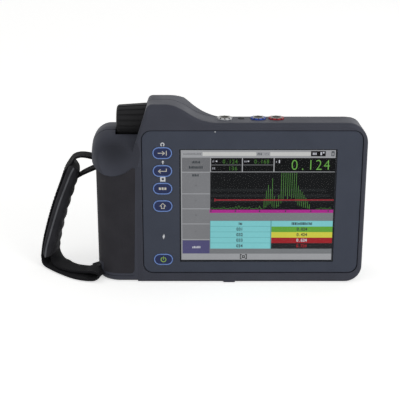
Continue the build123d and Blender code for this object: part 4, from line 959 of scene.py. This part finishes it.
    def execute(self, context):
        self.random = random.Random(context.scene.detector_sizes.trace_seed)
        self.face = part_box("display_module")[0].y / MM
        self.shape = bmesh.new()
        self.ink = {name: at for at, name in enumerate(FIELD_COLOURS)}
        finishes = [material(f"lit_display_{name}", lit_display, linear(code))
                    for name, code in FIELD_COLOURS.items()]
        # Dark edge of the display round the picture
        self.field(-WINDOW_MARGIN, PICTURE_WIDTH + WINDOW_MARGIN,
                   -WINDOW_MARGIN, PICTURE_HEIGHT + WINDOW_MARGIN, "edge", 0.5)
        for part in (self.head_bar, self.menu_column, self.readouts, self.plot, self.table,
                     self.foot):
            part()
        new_piece("screen_picture", self.shape, finishes, HOUSING_BODY, smooth=False)
        dress(material("anti_glare_acrylic"), "display_window")
        dress(material("black_display_glass"), "display_module")
        return {"FINISHED"}


class DETECTOR_OT_knob(bpy.types.Operator):
    """Finish the fluted knob and its encoder"""

    bl_idname = "detector.knob"
    bl_label = "Knob"

    def execute(self, context):
        dress(material("fluted_knob_rubber"), "knob_sleeve")
        dress(material("moulded_black_nylon"), "knob_core", "encoder_body")
        dress(material("turned_stainless"), "encoder_shaft")
        dress(material("nickel_plated_brass"), "encoder_nut")
        return {"FINISHED"}


class DETECTOR_OT_sockets(bpy.types.Operator):
    """Finish the probe sockets, their coloured rings and the vent plug"""

    bl_idname = "detector.sockets"
    bl_label = "Probe Sockets"

    def grip_notches(self, name):
        """Dark grip notches round the top of one coloured ring."""
        low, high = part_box(f"{name}_ring")
        middle = (low + high) / 2
        outer = (high.x - low.x) / 2
        inside, outside = NOTCH_REACH
        shape = bmesh.new()
        for step in range(NOTCHES):
            angle = 2 * math.pi * (step + 0.5) / NOTCHES
            along = Vector((math.cos(angle), math.sin(angle), 0.0))
            side = Vector((-along.y, along.x, 0.0)) * NOTCH_HALF * MM
            base = Vector((middle.x, middle.y, 0.0))
            corners = [base + along * (outer * share) + side * way
                       for share, way in ((inside, -1), (outside, -1), (outside, 1), (inside, 1))]
            rings = []
            for height in (high.z - NOTCH_DEPTH * MM, high.z + NOTCH_HEIGHT * MM):
                rings.append([shape.verts.new((spot.x, spot.y, height)) for spot in corners])
            close_tube(shape, rings)
        new_piece(f"{name}_ring_notches", shape, [material("moulded_seal_rubber")], HOUSING_BODY,
                  smooth=False)

    def execute(self, context):
        for name in ("output", "receive", "transmit"):
            dress(material("dull_nickel_plate"), f"{name}_socket")
            dress(material(f"moulded_{name}_ring"), f"{name}_ring")
            self.grip_notches(name)
        dress(material("turned_black_insulator"), "socket_inserts")
        dress(material("nickel_plated_brass"), "socket_nuts")
        dress(material("moulded_seal_rubber"), "vent_plug")
        return {"FINISHED"}


class DETECTOR_OT_back(bpy.types.Operator):
    """Finish the stand, the port door, the battery and the fasteners"""

    bl_idname = "detector.back"
    bl_label = "Back and Side Parts"

    def execute(self, context):
        dress(material("passivated_screw_steel"), "battery_door_screws", "housing_screws")
        dress(material("drawn_stand_steel"), "stand", "port_door_pin", "upper_strap_bar",
              "lower_strap_bar")
        dress(material("side_door_rubber"), "port_door")
        dress(material("moulded_black_nylon"), "port_block")
        dress(material("shrink_film_wrap"), "battery_pack")
        dress(material("cast_aluminium_frame"), "display_frame")
        dress(material("drawn_tinplate"), "board_shield")
        dress(material("green_circuit_board"), "main_board", "keypad_board")
        return {"FINISHED"}


# Steps across a webbing's flat side, the sides of a thread, and the share of a stitch that is
# left free at each end
FLAT_STEPS = 8
THREAD_SIDES = 6
STITCH_GAP = 0.14


def smooth_run(stations, count):
    """Points between stations on one smooth curve: x, y, z and turn of the width."""
    points = []
    last = len(stations) - 1
    for step in range(count):
        along = step / (count - 1) * last
        at = min(int(along), last - 1)
        t = along - at
        p0, p1, p2, p3 = (
            Vector(stations[min(max(at + shift, 0), last)]) for shift in (-1, 0, 1, 2)
        )
        points.append(
            0.5 * (2 * p1 + (p2 - p0) * t + (2 * p0 - 5 * p1 + 4 * p2 - p3) * t * t
                   + (3 * p1 - p0 - 3 * p2 + p3) * t ** 3)
        )
    return points


def strap_frames(points):
    """Place, direction across and outward direction at each point of a band's middle line."""
    frames = []
    for at, point in enumerate(points):
        ahead = points[min(at + 1, len(points) - 1)].xyz
        behind = points[max(at - 1, 0)].xyz
        along = (ahead - behind).normalized()
        turn = math.radians(point.w)
        across = Vector((math.sin(turn), math.cos(turn), 0))
        across = (across - along * across.dot(along)).normalized()
        frames.append((point.xyz, across, across.cross(along).normalized()))
    return frames


def band_shape(shape, frames, profile):
    """A band whose section, a list of (across, out) in mm for each station, follows frames."""
    layer = shape.loops.layers.uv.get("strap") or shape.loops.layers.uv.new("strap")
    rings = []
    travel = [0.0]
    for at, (place, across, outward) in enumerate(frames):
        section = profile(at / (len(frames) - 1))
        rings.append([shape.verts.new((place + across * u + outward * v) * MM)
                      for u, v in section])
        if at:
            travel.append(travel[-1] + (place - frames[at - 1][0]).length)
    girth = [0.0]
    section = profile(0.5)
    for at, point in enumerate(section):
        after = section[(at + 1) % len(section)]
        girth.append(girth[-1] + (Vector(after) - Vector(point)).length)
    for at, (first, second) in enumerate(zip(rings, rings[1:])):
        for side, face in enumerate(bridge(shape, first, second)):
            spots = ((side, at), (side + 1, at), (side + 1, at + 1), (side, at + 1))
            for loop, (s, t) in zip(face.loops, spots):
                loop[layer].uv = (girth[s] * MM, travel[t] * MM)
    for ring in (rings[0], rings[-1]):
        shape.faces.new(ring)


def flat_section(width, thickness):
    """A thin band's section with rounded selvedges and a slight crown."""
    points = []
    half, thick = width / 2, thickness / 2
    flat = [-half + thick + (width - thickness) * step / FLAT_STEPS
            for step in range(FLAT_STEPS + 1)]
    for way in (1, -1):
        for u in flat:
            points.append((way * u, way * thick * (0.9 + 0.1 * math.cos(math.pi * u / width))))
        for angle in (45, 0, -45):
            turn = math.radians(angle)
            points.append((way * (half - thick + thick * math.cos(turn)),
                           way * thick * math.sin(turn) * 0.9))
    return points


def tube_shape(shape, path, radius, sides):
    """A round cord through a list of points in mm."""
    rings = []
    for at, point in enumerate(path):
        ahead = path[min(at + 1, len(path) - 1)]
        behind = path[max(at - 1, 0)]
        along = (ahead - behind).normalized()
        side = along.orthogonal().normalized() if at == 0 else (
            side - along * side.dot(along)).normalized()
        up = along.cross(side)
        rings.append([
            shape.verts.new((point + (side * math.cos(2 * math.pi * s / sides)
                                      + up * math.sin(2 * math.pi * s / sides)) * radius) * MM)
            for s in range(sides)
        ])
    close_tube(shape, rings)


def stitches(shape, path, length, radius):
    """Separate stitches along a path in mm, with a short gap between them."""
    travel = 0.0
    start = 0
    for at in range(1, len(path)):
        travel += (path[at] - path[at - 1]).length
        if travel >= length:
            if at - start >= 2:
                a, b = path[start], path[at]
                gap = (b - a) * STITCH_GAP
                tube_shape(shape, [a + gap, (a + b) / 2, b - gap], radius, THREAD_SIDES)
            start = at
            travel = 0.0


# Middle lines of the sleeve, from its top down, and of the webbing's runs: x, y, z and turn of
# the width, in mm and degrees
SLEEVE_RUN = [
    (-123.8, 23.0, 84.5, -6.0), (-126.6, 23.0, 78.5, -4.0), (-130.8, 23.0, 67.5, -2.0),
    (-135.4, 23.0, 55.5, -1.0), (-139.8, 22.6, 42.0, 0.0), (-143.2, 22.0, 29.0, 3.0),
    (-145.6, 21.5, 17.0, 8.0), (-146.2, 21.0, 8.5, 12.0),
]
TAIL_RUN = [
    (-122.4, 23.0, 74.0, 4.0), (-117.0, 23.0, 77.3, 2.0), (-110.0, 23.0, 80.6, 0.0),
    (-104.5, 23.0, 82.9, 0.0),
]
OVER_RUN = [
    (-107.0, 23.0, 90.3, 0.0), (-113.0, 23.0, 91.6, 0.0), (-118.5, 23.0, 92.0, -4.0),
    (-123.4, 23.0, 90.4, -8.0), (-126.8, 23.0, 86.0, -12.0),
]
FLOOR_RUN = [
    (-148.5, 20.1, 4.8, 20.0), (-145.8, 16.2, 2.1, 27.0),
    (-139.2, 8.2, 1.6, 32.0), (-130.0, -1.2, 1.4, 33.0), (-117.6, -11.4, 1.4, 26.0),
    (-105.8, -15.6, 1.8, 18.0), (-101.4, -16.2, 4.3, 15.0), (-102.0, -15.4, 7.0, 15.0),
    (-106.8, -13.4, 7.8, 16.0), (-112.6, -11.2, 7.0, 18.0),
]
UNDER_RUN = [
    (-141.6, 20.8, 15.0, 10.0), (-141.2, 19.6, 9.6, 12.0), (-138.6, 14.6, 5.3, 20.0),
    (-133.4, 6.8, 4.1, 20.0), (-127.0, 0.8, 3.8, 15.0), (-120.0, -2.4, 3.7, 9.0),
    (-112.0, -4.2, 3.7, 2.0), (-106.0, -3.8, 3.8, 0.0), (-101.0, -3.0, 3.8, 0.0),
]
LOWER_TAIL_RUN = [
    (-101.0, -3.0, 9.4, 0.0), (-104.6, -3.4, 7.2, 2.0), (-109.0, -4.0, 5.9, 4.0),
]
# Radius in mm of a webbing's turn round its bar, and the stations of such a turn
WRAP_RADIUS = 3.0
WRAP_STATIONS = 7
# The sleeve: waves on the hand's side and their height, the share of its length that thins out
# at each end, the share of its thickness on the webbing's side, how far its seams lie from the
# edges, their width and depth, its binding's radius and the steps across its section, with
# sizes in mm
FINGER_WAVES = 9
WAVE_HEIGHT = 0.9
END_SHARE = 0.07
OUTER_SHARE = 0.92
SEAM_INSET = 2.4
SEAM_WIDTH = 0.9
SEAM_DEPTH = 0.45
BINDING_RADIUS = 0.75
SECTION_STEPS = 18
# The webbing: its seams' distance from the edges in mm, and its thread against the sleeve's
SELVEDGE_INSET = 1.9
FINE_THREAD = 0.8


def wrap_run(node, first, last):
    """Stations of a webbing that turns round a strap bar, between two angles in degrees."""
    low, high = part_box(node)
    centre = (low + high) / 2 / MM
    stations = []
    for step in range(WRAP_STATIONS):
        angle = math.radians(first + (last - first) * step / (WRAP_STATIONS - 1))
        stations.append((centre.x + WRAP_RADIUS * math.cos(angle), centre.y,
                         centre.z + WRAP_RADIUS * math.sin(angle), 0.0))
    return stations


class DETECTOR_OT_strap_sleeve(bpy.types.Operator):
    """Pad the sleeve, bind its edges and sew it"""

    bl_idname = "detector.strap_sleeve"
    bl_label = "Strap Sleeve"

    def fill(self, along):
        """How full the padding is at a place between 0 at the top and 1 at the foot."""
        ends = min(1.0, min(along, 1 - along) / END_SHARE)
        return self.thick * (0.5 + 0.5 * math.sin(math.pi * ends / 2))

    def outer_side(self, u, along):
        """Height of the webbing's side, flat in the middle and rolled in at the edges."""
        edge = (1 - abs(u / self.half) ** 4) ** 0.5 if abs(u) < self.half else 0.0
        return self.fill(along) * (0.3 + 0.7 * edge) * OUTER_SHARE

    def hand_side(self, u, along):
        """Depth of the hand's side, with a soft wave for each finger and the seams drawn in."""
        wave = 0.5 + 0.5 * math.cos(2 * math.pi * along * FINGER_WAVES)
        edge = (1 - abs(u / self.half) ** 3) ** 0.5 if abs(u) < self.half else 0.0
        seam = math.exp(-((abs(u) - self.half + SEAM_INSET) / SEAM_WIDTH) ** 2)
        full = math.sin(math.pi * min(1.0, max(0.0, along))) ** 0.5
        bulge = self.fill(along) * (1.0 + 0.5 * full) + WAVE_HEIGHT * wave * full
        return bulge * (0.3 + 0.7 * edge) - SEAM_DEPTH * seam

    def padded_section(self, along):
        """The sleeve's section as (across, out) points, once round."""
        steps = [-self.half + 2 * self.half * step / SECTION_STEPS
                 for step in range(SECTION_STEPS + 1)]
        return ([(u, self.outer_side(u, along)) for u in steps]
                + [(u, -self.hand_side(u, along)) for u in reversed(steps)])

    def execute(self, context):
        sizes = context.scene.detector_sizes
        colours = context.scene.detector_colours
        frames = strap_frames(smooth_run(SLEEVE_RUN, count=145))
        self.half = sizes.sleeve_width / 2 / MM
        self.thick = sizes.sleeve_thickness / 2 / MM
        shape = bmesh.new()
        band_shape(shape, frames, self.padded_section)
        sleeve = new_piece("strap_sleeve_pad", shape,
                           [material("foam_backed_cordura", coated_cordura, colours.sleeve)],
                           HOUSING_BODY)
        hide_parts("strap_sleeve")
        # Bound edges: a rolled tape along both long sides, its pale grey partly a painted
        # highlight along the edges
        shape = bmesh.new()
        for side in (-1, 1):
            path = [place + across * side * (self.half - 0.1) + outward * 0.3
                    for place, across, outward in frames]
            tube_shape(shape, path, BINDING_RADIUS, sides=10)
        # The binding's pale colour is partly a painted highlight on the sleeve's edges
        new_piece("strap_sleeve_binding", shape,
                  [material("binding_tape", coated_cordura, colours.binding, yarn_mm=0.7,
                            depth_mm=0.08)],
                  HOUSING_BODY)
        shape = bmesh.new()
        for side in (-1, 1):
            u = side * (self.half - SEAM_INSET)
            path = [place + across * u
                    - outward * (self.hand_side(u, at / (len(frames) - 1)) + 0.05)
                    for at, (place, across, outward) in enumerate(frames)]
            stitches(shape, path[5:-5], sizes.stitch_length / MM, sizes.thread_radius / MM)
        new_piece("strap_sleeve_stitches", shape, [material("black_bonded_thread")],
                  HOUSING_BODY)
        return {"FINISHED"}


class DETECTOR_OT_strap_webbing(bpy.types.Operator):
    """Weave the outer webbing, the lower webbing and their free ends"""

    bl_idname = "detector.strap_webbing"
    bl_label = "Strap Webbing"

    def execute(self, context):
        sizes = context.scene.detector_sizes
        colours = context.scene.detector_colours
        weave = material("woven_black_nylon", woven_nylon, colours.webbing)
        width = sizes.webbing_width / MM
        thick = sizes.webbing_thickness / MM
        section = flat_section(width, thick)
        lift = sizes.sleeve_thickness / 2 / MM * OUTER_SHARE + thick / 2 - 0.1
        middle = smooth_run(SLEEVE_RUN, count=29)
        beside = [(*(place + outward * lift), station.w)
                  for station, (place, across, outward) in zip(middle, strap_frames(middle))]
        upper = (TAIL_RUN + wrap_run("upper_strap_bar", -110, 90) + OVER_RUN + beside[4::3]
                 + FLOOR_RUN)
        lower = UNDER_RUN + wrap_run("lower_strap_bar", -90, 90) + LOWER_TAIL_RUN
        frames = strap_frames(smooth_run(upper, count=300))
        shape = bmesh.new()
        band_shape(shape, frames, lambda along: section)
        made = new_piece("strap_outer_webbing", shape, [weave], HOUSING_BODY)
        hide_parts("strap_webbing")
        low_frames = strap_frames(smooth_run(lower, count=160))
        shape = bmesh.new()
        band_shape(shape, low_frames, lambda along: section)
        made = new_piece("strap_inner_webbing", shape, [weave], HOUSING_BODY)
        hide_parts("strap_lower_webbing")
        shape = bmesh.new()
        for run in (frames, low_frames):
            for side in (-1, 1):
                path = [place + across * side * (width / 2 - SELVEDGE_INSET)
                        + outward * (thick * 0.52) for place, across, outward in run]
                stitches(shape, path, sizes.stitch_length / MM,
                         sizes.thread_radius / MM * FINE_THREAD)
        new_piece("strap_webbing_stitches", shape, [material("black_bonded_thread")],
                  HOUSING_BODY)
        return {"FINISHED"}


class DETECTOR_OT_stage(bpy.types.Operator):
    """Set the floor, the soft lights and the camera"""

    bl_idname = "detector.stage"
    bl_label = "Stage"

    def execute(self, context):
        scene = context.scene
        colours = scene.detector_colours
        shape = bmesh.new()
        bmesh.ops.create_grid(shape, x_segments=1, y_segments=1, size=FLOOR_REACH)
        mesh = bpy.data.meshes.new("floor")
        shape.to_mesh(mesh)
        shape.free()
        mesh.materials.append(material("studio_paper", paper_sweep, colours.floor))
        floor = bpy.data.objects.new("floor", mesh)
        scene.collection.objects.link(floor)

        world = bpy.data.worlds.new("studio")
        scene.world = world
        world.use_nodes = True
        tree = world.node_tree
        tree.nodes.clear()
        rays = add_node(tree, "ShaderNodeLightPath")
        seen = add_node(tree, "ShaderNodeMath", {"operation": "MAXIMUM"},
                        {0: rays.outputs["Is Camera Ray"], 1: rays.outputs["Is Glossy Ray"]})
        shown = add_node(tree, "ShaderNodeMath", {"operation": "MAXIMUM"},
                         {0: seen, 1: rays.outputs["Is Transmission Ray"]})
        plain = add_node(tree, "ShaderNodeBackground", inputs={
            "Color": grey(1.0), "Strength": ROOM_LIGHT})
        white = add_node(tree, "ShaderNodeBackground", inputs={
            "Color": grey(1.0), "Strength": 1.0})
        mix = add_node(tree, "ShaderNodeMixShader", inputs={0: shown, 1: plain, 2: white})
        add_node(tree, "ShaderNodeOutputWorld", inputs={"Surface": mix})

        for name, place, size, power in LAMPS:
            light = bpy.data.lights.new(name, "AREA")
            light.shape = "SQUARE"
            light.size = size
            light.energy = power
            lamp = bpy.data.objects.new(name, light)
            lamp.location = place
            lamp.rotation_euler = (LAMP_TARGET - Vector(place)).to_track_quat(
                "-Z", "Y").to_euler()
            scene.collection.objects.link(lamp)

        view = bpy.data.cameras.new("photo_camera")
        view.lens = CAMERA_LENS
        view.sensor_width = 36.0
        view.shift_y = CAMERA_SHIFT
        camera = bpy.data.objects.new("photo_camera", view)
        camera.location = CAMERA_PLACE
        camera.rotation_euler = (math.radians(CAMERA_TILT), 0.0, 0.0)
        scene.collection.objects.link(camera)
        scene.camera = camera
        scene.view_settings.view_transform = "Standard"
        return {"FINISHED"}


OPERATORS = (
    DETECTOR_OT_housing,
    DETECTOR_OT_panel,
    DETECTOR_OT_keys,
    DETECTOR_OT_screen,
    DETECTOR_OT_knob,
    DETECTOR_OT_sockets,
    DETECTOR_OT_back,
    DETECTOR_OT_strap_sleeve,
    DETECTOR_OT_strap_webbing,
    DETECTOR_OT_stage,
)


class DETECTOR_PT_pieces(bpy.types.Panel):
    """Lists the pieces of the detector and its stage"""

    bl_idname = "DETECTOR_PT_pieces"
    bl_label = "Flaw Detector"
    bl_space_type = "VIEW_3D"
    bl_region_type = "UI"
    bl_category = "Detector"

    def draw(self, context):
        for operator in OPERATORS:
            self.layout.operator(operator.bl_idname)
        for group in (context.scene.detector_sizes, context.scene.detector_colours):
            column = self.layout.column()
            for name in group.__annotations__:
                column.prop(group, name)


CLASSES = (DetectorSizes, DetectorColours) + OPERATORS + (DETECTOR_PT_pieces,)


def register():
    for item in CLASSES:
        bpy.utils.register_class(item)
    bpy.types.Scene.detector_sizes = PointerProperty(type=DetectorSizes)
    bpy.types.Scene.detector_colours = PointerProperty(type=DetectorColours)


def unregister():
    del bpy.types.Scene.detector_colours
    del bpy.types.Scene.detector_sizes
    for item in reversed(CLASSES):
        bpy.utils.unregister_class(item)


def main():
    register()
    for operator in OPERATORS:
        group, name = operator.bl_idname.split(".")
        getattr(getattr(bpy.ops, group), name)()


if __name__ == "__main__":
    main()
